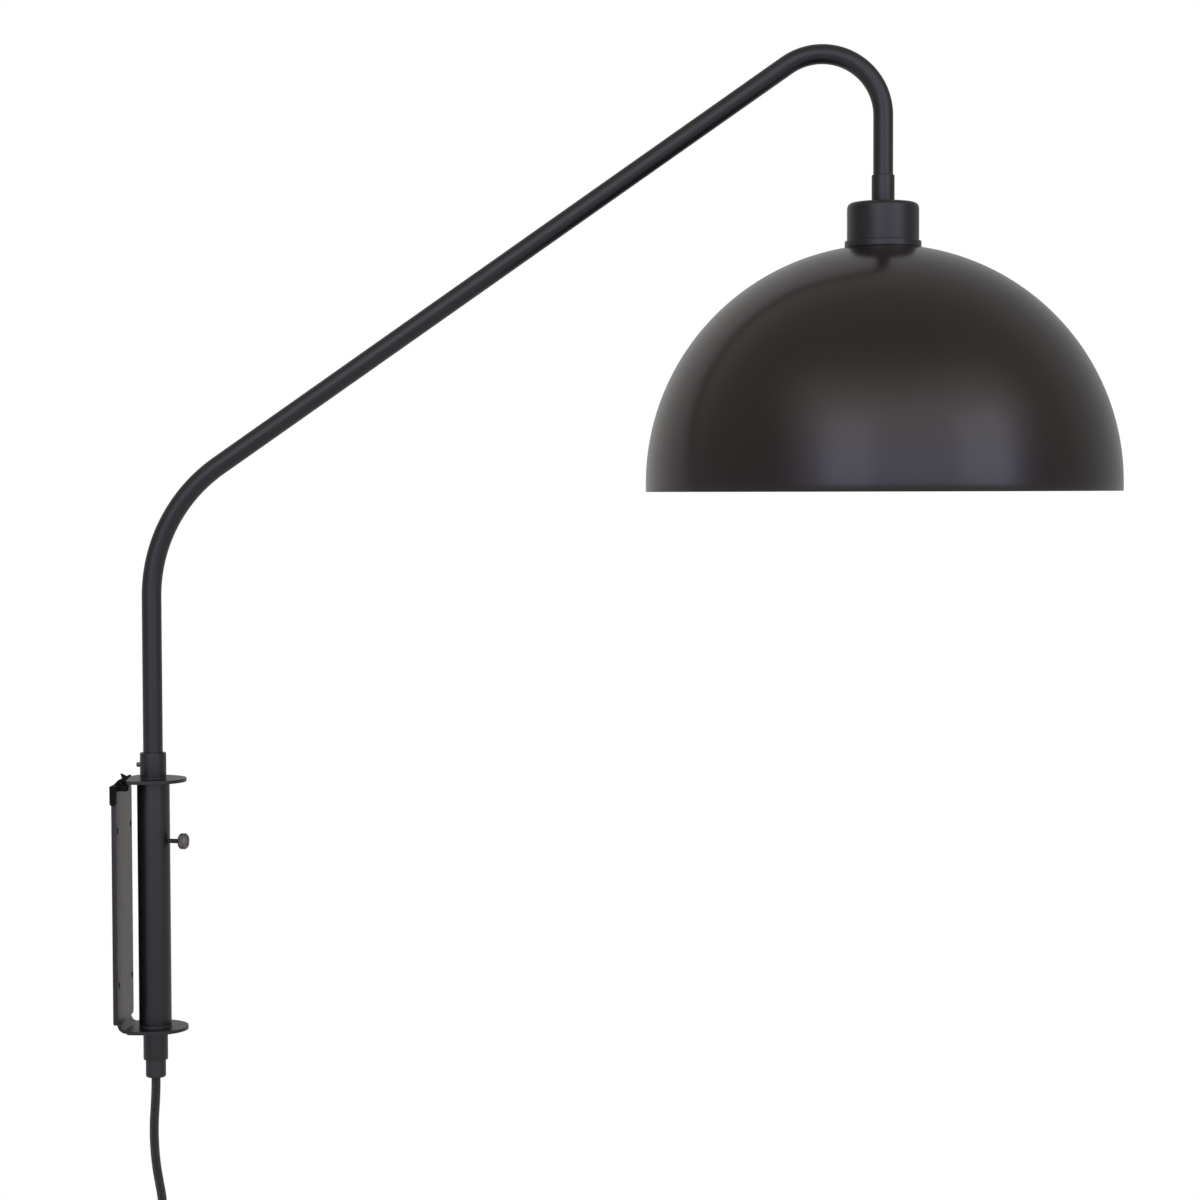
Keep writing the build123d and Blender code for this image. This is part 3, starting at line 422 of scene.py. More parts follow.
def rounded(points, cuts, steps=5):
    """A closed outline with its corners rounded.

    Corner P with neighbours before and after becomes the curve
    (1 - s)^2 A + 2 s (1 - s) P + s^2 B, where A and B lie on the two sides at the cut's length.
    """
    p = np.asarray(points, float)
    cut = np.broadcast_to(np.asarray(cuts, float), (len(p),))[:, None]
    back = np.roll(p, 1, axis=0) - p
    ahead = np.roll(p, -1, axis=0) - p
    a = p + back / np.linalg.norm(back, axis=1, keepdims=True) * cut
    b = p + ahead / np.linalg.norm(ahead, axis=1, keepdims=True) * cut
    s = np.linspace(0.0, 1.0, steps)[None, :, None]
    curve = (1 - s) ** 2 * a[:, None] + 2 * s * (1 - s) * p[:, None] + s**2 * b[:, None]
    return curve.reshape(-1, 2)


def grid_faces(rows, columns, wrap_rows, wrap_columns):
    """Corner numbers of a grid's four-sided faces. Its rows or columns may close on themselves."""
    r = np.arange(rows if wrap_rows else rows - 1)
    c = np.arange(columns if wrap_columns else columns - 1)
    r, c = np.meshgrid(r, c, indexing="ij")
    r2, c2 = (r + 1) % rows, (c + 1) % columns
    corners = [r * columns + c, r2 * columns + c, r2 * columns + c2, r * columns + c2]
    return np.stack(corners, -1).reshape(-1, 4)


def outward_volume(vertices, faces):
    """Six times the volume inside, which is negative where the faces point inwards."""
    a, b, c, d = (vertices[faces[:, i]] for i in range(4))
    return (np.cross(a, b) * c).sum() + (np.cross(a, c) * d).sum()


def grid(points, wrap_rows=False, wrap_columns=False):
    """A grid of points as (vertices, faces), with the faces turned outwards."""
    rows, columns = points.shape[:2]
    vertices = points.reshape(-1, 3)
    faces = grid_faces(rows, columns, wrap_rows, wrap_columns)
    if outward_volume(vertices - vertices.mean(0), faces) < 0:
        faces = faces[:, ::-1]
    return vertices, faces


def spun(outline, axis, sides=96, wobble=None):
    """A closed outline of (radius, height) turned about an upright axis.

    Point (t, i) is (axis_x + r_i cos t, axis_y + r_i sin t, z_i). With a wobble, r_i is first
    changed by wobble(t, i).
    """
    t = np.linspace(0, 2 * np.pi, sides, endpoint=False)[:, None]
    r = np.asarray(outline)[None, :, 0] + (wobble(t) if wobble else 0.0)
    z = np.broadcast_to(np.asarray(outline)[None, :, 1], r.shape if wobble else (sides, len(outline)))
    x = axis[0] + r * np.cos(t)
    y = axis[1] + r * np.sin(t)
    return grid(np.stack([x, y, z + 0 * x], -1), True, True)


def bent_path(points, radii, step):
    """A path in the plane Y = 0 through (x, z) corners with an arc of a given radius at each.

    On an arc the point is centre + radius (cos a, sin a), and the arc starts and ends at
    radius times tan(turn / 2) from its corner.
    """
    p = np.asarray(points, float)
    pieces = [p[:1]]
    for corner, before, after, radius in zip(p[1:-1], p[:-2], p[2:], radii):
        into = (corner - before) / np.linalg.norm(corner - before)
        out = (after - corner) / np.linalg.norm(after - corner)
        turn = math.acos(float(np.clip(into @ out, -1, 1)))
        side = math.copysign(1.0, float(into[0] * out[1] - into[1] * out[0]))
        start = corner - into * radius * math.tan(turn / 2)
        centre = start + side * radius * np.array([-into[1], into[0]])
        first = math.atan2(start[1] - centre[1], start[0] - centre[0])
        angles = first + side * np.linspace(0, turn, max(6, round(radius * turn / step)))
        pieces.append(centre + radius * np.stack([np.cos(angles), np.sin(angles)], -1))
    pieces.append(p[-1:])
    return np.concatenate(pieces)


def carried(path, radius, sides=64):
    """A round bar along a path in the plane Y = 0, closed at both ends.

    Point (i, t) is path_i + radius (sin t) side + radius (cos t) normal_i, with side along Y.
    Two more rows at each end shrink to the path, so the ends are flat discs.
    """
    tangent = np.gradient(path, axis=0)
    straight = np.abs(np.gradient(tangent, axis=0)).max() < 1e-12
    tangent = tangent / np.linalg.norm(tangent, axis=1, keepdims=True)
    if not straight:
        tangent[0] = path[1] - path[0]
        tangent[-1] = path[-1] - path[-2]
        tangent /= np.linalg.norm(tangent, axis=1, keepdims=True)
    normal = np.stack([-tangent[:, 1], tangent[:, 0]], -1)
    rows = np.concatenate([[0], np.arange(len(path)), [len(path) - 1]])
    size = np.full(len(rows), radius)
    size[[0, -1]] = 1e-7
    t = np.linspace(0, 2 * np.pi, sides, endpoint=False)
    centre = path[rows][:, None]
    across = size[:, None] * np.cos(t)
    x = centre[..., 0] + across * normal[rows][:, None, 0]
    z = centre[..., 1] + across * normal[rows][:, None, 1]
    y = size[:, None] * np.sin(t) + 0 * x
    return grid(np.stack([x, y, z], -1), False, True)


def add_piece(name, surface, body, material, stands_for=(), sharp=38.0):
    """Make a piece of (vertices, faces), and let it ride on a body in place of some nodes."""
    vertices, faces = surface
    mesh = bpy.data.meshes.new(name)
    mesh.vertices.add(len(vertices))
    mesh.vertices.foreach_set("co", vertices.astype(np.float32).ravel())
    mesh.loops.add(faces.size)
    mesh.loops.foreach_set("vertex_index", faces.astype(np.int32).ravel())
    mesh.polygons.add(len(faces))
    mesh.polygons.foreach_set("loop_start", np.arange(0, faces.size, 4, dtype=np.int32))
    mesh.polygons.foreach_set("loop_total", np.full(len(faces), 4, np.int32))
    mesh.update(calc_edges=True)
    work = bmesh.new()
    work.from_mesh(mesh)
    bmesh.ops.remove_doubles(work, verts=work.verts, dist=2e-6)
    bmesh.ops.dissolve_degenerate(work, edges=work.edges, dist=1e-7)
    work.to_mesh(mesh)
    work.free()
    mesh.validate()
    mesh.shade_smooth()
    mesh.set_sharp_from_angle(angle=math.radians(sharp))
    mesh.materials.append(material)
    return finished(bpy.data.objects.new(name, mesh), body, stands_for)


def finished(piece, body, stands_for=()):
    """Link a piece and tell the frame what carries it and what it stands for."""
    if piece.name not in bpy.context.scene.collection.objects:
        bpy.context.scene.collection.objects.link(piece)
    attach(piece, body)
    if stands_for:
        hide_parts(*stands_for)
    return piece


def dress(material, *nodes):
    """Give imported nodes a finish."""
    for node in nodes:
        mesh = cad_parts[node].data
        mesh.materials.clear()
        mesh.materials.append(material)


def tidy_copy(node, name, round_over, body, material):
    """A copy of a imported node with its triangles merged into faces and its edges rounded."""
    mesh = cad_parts[node].data.copy()
    mesh.name = name
    work = bmesh.new()
    work.from_mesh(mesh)
    bmesh.ops.remove_doubles(work, verts=work.verts, dist=2e-6)
    bmesh.ops.dissolve_limit(
        work, angle_limit=math.radians(1.0), verts=work.verts, edges=work.edges, delimit={"NORMAL"})
    work.to_mesh(mesh)
    work.free()
    mesh.materials.clear()
    mesh.materials.append(material)
    mesh.shade_smooth()
    mesh.set_sharp_from_angle(angle=math.radians(30))
    piece = finished(bpy.data.objects.new(name, mesh), body, (node,))
    bevel = piece.modifiers.new("rounded_edges", "BEVEL")
    bevel.width = round_over
    bevel.segments = 3
    bevel.limit_method = "ANGLE"
    bevel.angle_limit = math.radians(35)
    bevel.use_clamp_overlap = True
    bevel.harden_normals = True
    return piece


# ------------------------------------------------------------------ the pieces' own shapes

def dome_outline(wall):
    """Half of the dome's section: seat, outer arc, skirt, rounded rim, inner arc and hole."""
    low, _ = heights("dome_shade")
    outer = radius_of("dome_shade")
    inner = outer - wall
    seat = dome_seat()
    centre = low + SKIRT
    hole = 17.4 * MM
    seat_angle = math.asin((seat - centre) / outer)
    inner_angle = math.asin((seat - wall - centre) / inner)
    a = np.linspace(seat_angle, 0, 92)
    outside = np.stack([outer * np.cos(a), centre + outer * np.sin(a)], -1)
    b = np.linspace(0, -np.pi, 9)
    middle = (outer + inner) / 2
    edge = np.stack([middle + wall / 2 * np.cos(b), low + wall / 2 + wall / 2 * np.sin(b)], -1)
    c = np.linspace(0, inner_angle, 72)
    inside = np.stack([inner * np.cos(c), centre + inner * np.sin(c)], -1)
    seat_ring = np.array([[hole, seat - wall], [hole, seat]])
    return np.concatenate([outside, edge, inside, seat_ring])


def cap_outline(edge):
    """The cap's section: rounded top, plain side and its hollow."""
    low, high = heights("socket_cap")
    r = radius_of("socket_cap")
    wall = 1.2 * MM
    hole = 5.0 * MM
    return rounded([
        (hole, high), (r, high), (r, low), (r - wall, low), (r - wall, high - wall), (hole, high - wall),
    ], np.array([0.05 * MM, edge, 0.25 * MM, 0.2 * MM, edge - wall, 0.05 * MM]), 13)


def tube_outline(node, bore, edge, high_edge=None):
    """A plain ring's section with rounded outer edges."""
    low, high = heights(node)
    r = radius_of(node)
    high_edge = edge if high_edge is None else high_edge
    small = 0.1 * MM
    return rounded([(bore, low), (r, low), (r, high), (bore, high)],
                   [small, edge, high_edge, small], 7)


def bulb_outline():
    """The glass in section: a ball, then one arc tangent to it that ends upright on the base."""
    low, high = heights("bulb_glass")
    r = radius_of("bulb_glass")
    neck = 13.1 * MM
    centre = low + r
    shoulder = math.radians(28.0)
    a = np.linspace(-np.pi / 2, shoulder, 60)
    ball = np.stack([r * np.cos(a), centre + r * np.sin(a)], -1)
    start, end = ball[-1], np.array([neck, high])
    normal = np.array([math.cos(shoulder), math.sin(shoulder)])
    reach = end - start
    s = float(reach @ reach) / (2 * float(normal @ reach))
    middle = start + s * normal
    first = math.atan2(*(start - middle)[::-1])
    last = math.atan2(*(end - middle)[::-1])
    if last > first:
        last -= 2 * np.pi
    b = np.linspace(first, last, 40)[1:]
    throat = middle + abs(s) * np.stack([np.cos(b), np.sin(b)], -1)
    return np.concatenate([ball, throat, [[0.0, high]]])


def screw_base():
    """The bulb's base: a cylinder whose radius waves with the thread, a cone and a tip.

    On the threaded part r = crest - depth (0.5 - 0.5 cos(2 pi z / pitch - t)), so that the
    crest climbs one pitch in a turn.
    """
    low, high = heights("bulb_base")
    crest = radius_of("bulb_base")
    pitch, depth = 3.63 * MM, 0.9 * MM
    top = low + 5 * pitch
    z = np.linspace(low, top, 80)
    t = np.linspace(0, 2 * np.pi, 72, endpoint=False)[:, None]
    fade = np.clip(np.minimum(z - low, top - z) / (0.6 * pitch), 0, 1)
    r = crest - depth * fade * (0.5 - 0.5 * np.cos(2 * np.pi * z / pitch - t))
    rim_r = np.array([11.6, 5.6, 5.0, 4.5, 4.2, 0.0]) * MM
    rim_z = np.array([top + 0.4 * MM, high - 1.4 * MM, high - 1.3 * MM, high - 0.9 * MM, high, high])
    r = np.concatenate([0 * t, r, rim_r + 0 * t], 1)
    z = np.concatenate([[low], z, rim_z]) + 0 * r
    x = SHADE_AXIS[0] + r * np.cos(t)
    y = SHADE_AXIS[1] + r * np.sin(t)
    return grid(np.stack([x, y, z], -1), True, False)


def clamp_place(points):
    """Points of a screw along +Z brought to the clamp screw's axis, head outwards."""
    c, s = math.cos(CLAMP_TURN), math.sin(CLAMP_TURN)
    x, y, z = points[..., 0], points[..., 1], points[..., 2]
    return np.stack([
        SWING_AXIS[0] + z * c - y * s,
        SWING_AXIS[1] + z * s + y * c,
        CLAMP_HEIGHT - x,
    ], -1)


def thumbscrew_head(ridges, depth):
    """A drum with bevelled ends and a diamond knurl.

    The radius drops by depth times the smaller of two waves that wind in opposite directions,
    fading out on the bevels and end faces.
    """
    start, length, outer, bevel = 17.85 * MM, 5.0 * MM, 5.15 * MM, 0.9 * MM
    z = np.concatenate([
        np.full(3, start), np.linspace(start + 0.02 * MM, start + bevel, 5),
        np.linspace(start + bevel, start + length - bevel, 44)[1:-1],
        np.linspace(start + length - bevel, start + length - 0.02 * MM, 5), np.full(4, start + length)])
    r = np.full(len(z), outer)
    near = np.minimum(z - start, start + length - z)
    r = r - np.clip(bevel - near, 0, bevel)
    r[:3] = np.array([0.0, 0.5, 1.0]) * r[2]
    r[-4:] = np.array([1.0, 0.62, 0.55, 0.0]) * r[-4]
    z[-2:] -= 0.35 * MM
    t = np.linspace(0, 2 * np.pi, 4 * ridges, endpoint=False)[:, None]
    wind = (z - start) / outer
    one = 0.5 + 0.5 * np.cos(ridges * (t + wind))
    two = 0.5 + 0.5 * np.cos(ridges * (t - wind))
    fade = np.clip(near / bevel, 0, 1) ** 2
    r = r - depth * fade * np.maximum(one, two)
    points = np.stack([r * np.cos(t), r * np.sin(t), z + 0 * r], -1)
    return grid(clamp_place(points), True, False)


def thumbscrew_shank():
    """The threaded shank: r = radius - depth (0.5 - 0.5 cos(2 pi z / pitch - t))."""
    start, end, radius, pitch, depth = 8.65 * MM, 18.1 * MM, 1.5 * MM, 0.5 * MM, 0.12 * MM
    z = np.linspace(start, end, 140)
    t = np.linspace(0, 2 * np.pi, 28, endpoint=False)[:, None]
    r = radius - depth * (0.5 - 0.5 * np.cos(2 * np.pi * z / pitch - t))
    r[:, 0] = 0.0
    r[:, -1] = 0.0
    points = np.stack([r * np.cos(t), r * np.sin(t), z + 0 * r], -1)
    return grid(clamp_place(points), True, False)


def plug_shape():
    """The plug: a rounded box whose half sides change with height, under a grooved taper.

    Every level is the curve |x / a|^n + |y / b|^n = 1, so that
    x = a sign(cos t) |cos t|^(2 / n), and n falls from 5 in the body to 2 in the relief.
    """
    low, high = heights("plug_body")
    axis = axis_of("plug_body")
    h = high - low
    joint = 27.0 * MM
    s = np.concatenate([
        [0.0, 0.0], np.linspace(0, 1, 8) ** 2 * 1.6 * MM, np.linspace(1.8 * MM, joint, 40),
        np.linspace(joint, h, 90)[1:], [h, h]])
    edge = 1.6 * MM - np.sqrt(np.clip((1.6 * MM) ** 2 - np.clip(1.6 * MM - s, 0, None) ** 2, 0, None))
    rise = np.clip((s - 0.45 * joint) / (0.55 * joint), 0, 1)
    ease = rise * rise * (3 - 2 * rise)
    wide = 12.0 * MM - 6.4 * MM * ease - edge
    deep = 7.0 * MM - 1.9 * MM * ease - edge
    relief = np.clip((s - joint) / (h - joint), 0, 1)
    grooved = 0.55 * MM * (np.cos(2 * np.pi * relief * 5.0) > 0.35) * (relief > 0.08) * (relief < 0.95)
    blend_in = np.clip((s - joint) / (2.0 * MM), 0, 1)
    ring = 5.0 * MM - 1.0 * MM * relief - grooved
    wide = wide * (1 - blend_in) + ring * blend_in
    deep = deep * (1 - blend_in) + ring * blend_in
    power = 5.0 - 3.0 * np.clip((s - 0.5 * joint) / (0.5 * joint), 0, 1)
    wide[[0, -1]] = 0.0
    deep[[0, -1]] = 0.0
    t = np.linspace(0, 2 * np.pi, 96, endpoint=False)[:, None]
    x = deep * np.sign(np.cos(t)) * np.abs(np.cos(t)) ** (2 / power)
    y = wide * np.sign(np.sin(t)) * np.abs(np.sin(t)) ** (2 / power)
    z = low + s + 0 * x
    return grid(np.stack([axis[0] + x, axis[1] + y, z], -1), True, False)


# ------------------------------------------------------------------ the cord

CORD_ROUTE = [
    (22.5, -112.3), (22.5, -124.0), (20.6, -147.0), (21.8, -171.0), (26.4, -195.0), (26.0, -207.0),
    (26.0, -217.0), (26.0, -247.0), (26.0, -277.0), (26.0, -288.0),
]


def coil_points():
    """Control points of the coil, from the bend under the switch to the plug.

    The turns lie across X. Layer one is a spiral in, whose radius falls by the pitch in a turn;
    half a turn climbs to layer two, and that is a spiral out. A control point stands outside the
    curve by 1 / (0.75 + 0.25 cos(step)), so that the curve keeps its radius.
    """
    radius, pitch, bend, straight = 47.5, 6.5, 40.0, 12.0
    top_x, top_z = CORD_ROUTE[-2][0], CORD_ROUTE[-2][1]
    entry = math.asin(bend / (bend + radius))
    middle_z = top_z - straight - (bend + radius) * math.cos(entry)
    across = np.array([math.sin(entry), math.cos(entry)])

    def raised(step):
        return 1 / (0.75 + 0.25 * math.cos(step))

    swing = math.pi / 2 - entry
    lead = swing * np.array([0.25, 0.75])
    out = bend * raised(swing / 2)
    lead_in = np.stack([
        np.full(2, top_x), bend - out * np.cos(lead), top_z - straight - out * np.sin(lead)], -1)

    total = 14 * math.pi + swing
    count = round(total / math.radians(30))
    a = (np.arange(count) + 0.5) * total / count
    first = a < 7 * math.pi
    climb = (~first) & (a < 8 * math.pi)
    r = np.where(first, 49.125 - pitch * a / (2 * math.pi),
                 np.where(climb, 24.75, 26.375 + pitch * (a - 8 * math.pi) / (2 * math.pi)))
    off = np.where(first, -pitch / 4, np.where(climb, -pitch / 2, -0.75 * pitch))
    share = np.clip(a / math.pi - 7, 0, 1)
    x = top_x - pitch * share * share * (3 - 2 * share)
    r = r * raised(total / count)
    y = off * across[0] + r * np.sin(entry + a)
    z = middle_z + off * across[1] + r * np.cos(entry + a)
    turns = np.stack([x, y, z], -1)

    plug = axis_of("plug_body") / MM
    plug_top = heights("plug_body")[1] / MM
    tail = np.array([[plug[0], plug[1], plug_top + 12], [plug[0], plug[1], plug_top - 4]])
    return np.concatenate([lead_in, turns, tail])


def cord_curve(diameter):
    """The whole free cord as one smooth line, from the grip to the plug."""
    route = np.array([(x, 0.0, z) for x, z in CORD_ROUTE])
    points = np.concatenate([route, coil_points()]) * MM
    curve = bpy.data.curves.new("cord", "CURVE")
    curve.dimensions = "3D"
    curve.resolution_u = 4
    curve.bevel_depth = diameter / 2
    curve.bevel_resolution = 5
    curve.use_fill_caps = True
    line = curve.splines.new("NURBS")
    line.points.add(len(points) - 1)
    line.points.foreach_set("co", np.c_[points, np.ones(len(points))].ravel())
    line.order_u = 3
    line.use_endpoint_u = True
    line.use_smooth = True
    return bpy.data.objects.new("cord", curve)


CORD_LENGTH = 1.88                       # metres of cord outside the arm

CAMERA_ANGLES = (2.11934, 2.33298, -0.15)   # degrees of yaw to the left, pitch down and roll
CAMERA_PLACE = (0.3771, -1.7341, 0.2680)
CAMERA_SENSOR = 36.0
CAMERA_LENS = 81.0


# ------------------------------------------------------------------ operators

def finishes(context):
    """The finishes in use, made once."""
    made = finishes.__dict__.setdefault("made", {})
    if made:
        return made
    colours = context.scene.sconce_colours
    made["coat"] = satin_coat("satin_coat", colours.coat[:], 0.36)
    made["shade"] = shade_coat(colours)
    made["screw"] = plated("dark_plating", colours.screw[:], 0.36, 0)
    made["steel"] = plated("zinc_plating", (0.55, 0.55, 0.56), 0.30)
    made["brass"] = plated("turned_brass", (0.78, 0.58, 0.27), 0.26)
    made["nickel"] = plated("nickel_shell", (0.66, 0.65, 0.62), 0.24)
    made["ceramic"] = glazed("glazed_ceramic", (0.78, 0.76, 0.71))
    made["moulding"] = moulded("black_moulding", colours.moulding[:], 0.46)
    made["bush"] = moulded("bush_plastic", (0.028, 0.028, 0.030), 0.34, 0.4)
    made["nylon"] = moulded("tie_nylon", (0.0022, 0.0022, 0.0024), 0.60, 0.3, 0.12)
    made["rubber"] = moulded("seal_rubber", (0.020, 0.020, 0.020), 0.7, 1.5)
    made["glass"] = frosted_glass(colours)
    made["strap"] = woven_strap("loop_strap", (0.02, 0.02, 0.022))
    made["braid"] = braid(colours, context.scene.sconce_sizes, CORD_LENGTH)
    return made


class SCONCE_OT_camera(bpy.types.Operator):
    """Put up the camera at the photograph's viewing angle"""
    bl_idname = "sconce.camera"
    bl_label = "Camera"

    def execute(self, context):
        yaw, pitch, roll = (math.radians(v) for v in CAMERA_ANGLES)
        ahead = np.array([
            -math.sin(yaw) * math.cos(pitch), math.cos(yaw) * math.cos(pitch), -math.sin(pitch)])
        right = np.array([math.cos(yaw), math.sin(yaw), 0.0])
        up = np.cross(right, ahead)
        right, up = (right * math.cos(roll) + up * math.sin(roll),
                     up * math.cos(roll) - right * math.sin(roll))
        data = bpy.data.cameras.new("camera")
        data.sensor_width = CAMERA_SENSOR
        data.lens = CAMERA_LENS
        data.clip_start = 0.05
        data.clip_end = 60.0
        camera = bpy.data.objects.new("camera", data)
        context.scene.collection.objects.link(camera)
        turn = np.stack([right, up, -ahead], -1)
        camera.matrix_world = Matrix([[*turn[i], c] for i, c in enumerate(CAMERA_PLACE)] + [[0, 0, 0, 1]])
        context.scene.camera = camera
        return {"FINISHED"}


class SCONCE_OT_cord(bpy.types.Operator):
    """Hang the braided cord from the grip, through the switch and round its coil to the plug"""
    bl_idname = "sconce.cord"
    bl_label = "Cord"

    def execute(self, context):
        made = finishes(context)
        sizes = context.scene.sconce_sizes
        cord = cord_curve(sizes.cord_diameter)
        cord.data.materials.append(made["braid"])
        finished(cord, "wall_bracket", ("cord_drop", "cord_coil"))
        moulding = made["moulding"]
        plug = add_piece("plug", plug_shape(), "wall_bracket", moulding,
                         ("plug_body",), 50)
        tie_round, switch_round = 0.6 * MM, 0.35 * MM
        tie = tidy_copy("cord_tie", "tie_strap", tie_round, "wall_bracket", made["strap"])
        front = tidy_copy("switch_front", "switch_lid", switch_round, "wall_bracket", moulding)
        back = tidy_copy("switch_back", "switch_base", switch_round, "wall_bracket", moulding)
        dress(made["bush"], "switch_rocker")
        dress(made["steel"], "switch_screws", "rocker_pin")
        dress(made["brass"], "plug_blades")
        dress(made["braid"], "cord_drop", "cord_coil")
        return {"FINISHED"}


class SCONCE_OT_shade(bpy.types.Operator):
    """Spin the dome shade"""
    bl_idname = "sconce.shade"
    bl_label = "Shade"

    def execute(self, context):
        made = finishes(context)
        outline = dome_outline(context.scene.sconce_sizes.shade_wall)
        add_piece("shade", spun(outline, SHADE_AXIS, 256), "arm", made["shade"],
                  ("dome_shade",))
        return {"FINISHED"}


class SCONCE_OT_cap(bpy.types.Operator):
    """Turn the cap, the ring under it and the ferrule over it"""
    bl_idname = "sconce.cap"
    bl_label = "Cap, ring and ferrule"

    def execute(self, context):
        made = finishes(context)
        sizes = context.scene.sconce_sizes
        add_piece("cap", spun(cap_outline(sizes.cap_round), SHADE_AXIS, 128), "arm", made["coat"],
                  ("socket_cap",))
        low, high = heights("shade_ring")
        r = radius_of("shade_ring")
        shoulder = heights("socket_cap")[0]
        spigot, bore = 21.6 * MM, 20.4 * MM
        corners = [
            (bore, low), (r, low), (r, shoulder), (spigot, shoulder), (spigot, high), (bore, high)]
        ring = rounded(corners, np.array([0.1, 0.5, 0.8, 0.1, 0.1, 0.1]) * MM, 7)
        add_piece("ring", spun(ring, SHADE_AXIS, 128), "arm", made["coat"], ("shade_ring",))
        ferrule = tube_outline("arm_ferrule", 5.0 * MM, 0.3 * MM, 0.9 * MM)
        add_piece("ferrule", spun(ferrule, SHADE_AXIS), "arm", made["coat"], ("arm_ferrule",))
        return {"FINISHED"}


class SCONCE_OT_arm(bpy.types.Operator):
    """Bend the arm's tube"""
    bl_idname = "sconce.arm"
    bl_label = "Arm"

    def execute(self, context):
        made = finishes(context)
        foot = heights("arm_tube")[0]
        reach = SHADE_AXIS[0] - SWING_AXIS[0]
        knee, slope = 253.6 * MM, math.radians(34.7)
        apex = knee + reach * math.tan(slope)
        end = heights("arm_ferrule")[0] + 7.0 * MM
        path = bent_path(
            [(SWING_AXIS[0], foot), (SWING_AXIS[0], knee), (SHADE_AXIS[0], apex), (SHADE_AXIS[0], end)],
            (103.0 * MM, 39.0 * MM), 2.2 * MM)
        add_piece("arm", carried(path, radius_of("arm_tube")), "arm", made["coat"],
                  ("arm_tube",))
        dress(made["braid"], "inner_lead")
        return {"FINISHED"}


class SCONCE_OT_hinge(bpy.types.Operator):
    """Turn the hinge barrel and the washer, collar, sleeve and grip on the arm"""
    bl_idname = "sconce.hinge"
    bl_label = "Hinge"

    def execute(self, context):
        made = finishes(context)
        coat, bore = made["coat"], radius_of("arm_tube")
        rings = (
            ("barrel", "hinge_barrel", "wall_bracket", coat, "black_metal", bore + 1.65 * MM, 0.35, 0.35),
            ("washer", "thrust_washer", "arm", made["bush"], "bush_plastic", bore + 0.1 * MM, 0.2, 0.2),
            ("collar", "stop_collar", "arm", coat, "black_metal", bore, 0.3, 0.6),
            ("sleeve", "lower_sleeve", "arm", coat, "black_metal", bore, 0.6, 0.3),
        )
        for name, node, body, material, slot, inner, low_edge, high_edge in rings:
            add_piece(name, spun(tube_outline(node, inner, low_edge * MM, high_edge * MM), SWING_AXIS),
                      body, material, (node,))
        low, _ = heights("cord_grip")
        top = heights("lower_sleeve")[0]
        outer, cord_hole, spigot, spigot_top = 6.5 * MM, 3.1 * MM, 4.8 * MM, top + 4 * MM
        corners = [(cord_hole, low), (outer, low), (outer, top), (spigot, top), (spigot, spigot_top),
                   (cord_hole, spigot_top)]
        grip = rounded(corners, np.array([0.4, 1.5, 0.15, 0.05, 0.05, 0.05]) * MM, 9)
        add_piece("grip", spun(grip, SWING_AXIS), "arm", made["moulding"], ("cord_grip",))
        dress(made["bush"], "upper_bush", "lower_bush")
        dress(made["rubber"], "grip_seal")
        return {"FINISHED"}


class SCONCE_OT_screws(bpy.types.Operator):
    """Cut the thumbscrew and finish the clamp's tip and the collar's set screw"""
    bl_idname = "sconce.screws"
    bl_label = "Thumbscrew and set screw"

    def execute(self, context):
        made = finishes(context)
        sizes = context.scene.sconce_sizes
        head = thumbscrew_head(sizes.ridge_count, sizes.ridge_depth)
        add_piece("thumbscrew_turned", head, "thumbscrew", made["screw"], ("thumbscrew",), 30)
        add_piece("thumbscrew_shank", thumbscrew_shank(), "thumbscrew", made["coat"], (), 30)
        dress(made["bush"], "clamp_tip")
        dress(made["screw"], "collar_screw")
        return {"FINISHED"}


class SCONCE_OT_bracket(bpy.types.Operator):
    """Round the edges of the folded bracket and the plate behind it"""
    bl_idname = "sconce.bracket"
    bl_label = "Bracket"

    def execute(self, context):
        made = finishes(context)
        sizes = context.scene.sconce_sizes
        tidy_copy("bracket", "bracket_folded", sizes.edge_round, "wall_bracket", made["coat"])
        tidy_copy("wall_plate", "plate_behind", sizes.edge_round * 0.5, "wall_bracket", made["coat"])
        dress(made["nylon"], "hanging_tie")
        return {"FINISHED"}


class SCONCE_OT_lampholder(bpy.types.Operator):
    """Turn the lampholder's nut and finish what is inside the cap"""
    bl_idname = "sconce.lampholder"
    bl_label = "Lampholder"

    def execute(self, context):
        made = finishes(context)
        low, high = heights("shade_nut")
        r = radius_of("shade_nut")
        bore = 17.2 * MM
        corners = [(bore, low), (r, low), (r, high), (bore, high)]
        nut = rounded(corners, np.array([0.3, 1.0, 0.3, 0.1]) * MM, 6)
        weight = np.clip((nut[:, 0] - (r - 1.6 * MM)) / (1.2 * MM), 0, 1)

        def ribs(t):
            return -0.7 * MM * weight * np.clip(2.5 * np.cos(20 * t), 0, 1)

        add_piece("nut", spun(nut, SHADE_AXIS, 240, ribs), "arm", made["moulding"],
                  ("shade_nut",))
        dress(made["ceramic"], "lampholder_body", "lampholder_cover")
        dress(made["nickel"], "screw_shell")
        dress(made["brass"], "centre_contact", "terminal_screws", "nipple")
        dress(made["steel"], "cap_nut")
        dress(made["braid"], "lead_cores")
        return {"FINISHED"}


class SCONCE_OT_bulb(bpy.types.Operator):
    """Blow the bulb and roll its base"""
    bl_idname = "sconce.bulb"
    bl_label = "Bulb"

    def execute(self, context):
        made = finishes(context)
        add_piece("bulb", spun(bulb_outline(), SHADE_AXIS, 96), "arm", made["glass"],
                  ("bulb_glass",))
        add_piece("bulb_screw", screw_base(), "arm", made["nickel"], ("bulb_base",))
        return {"FINISHED"}


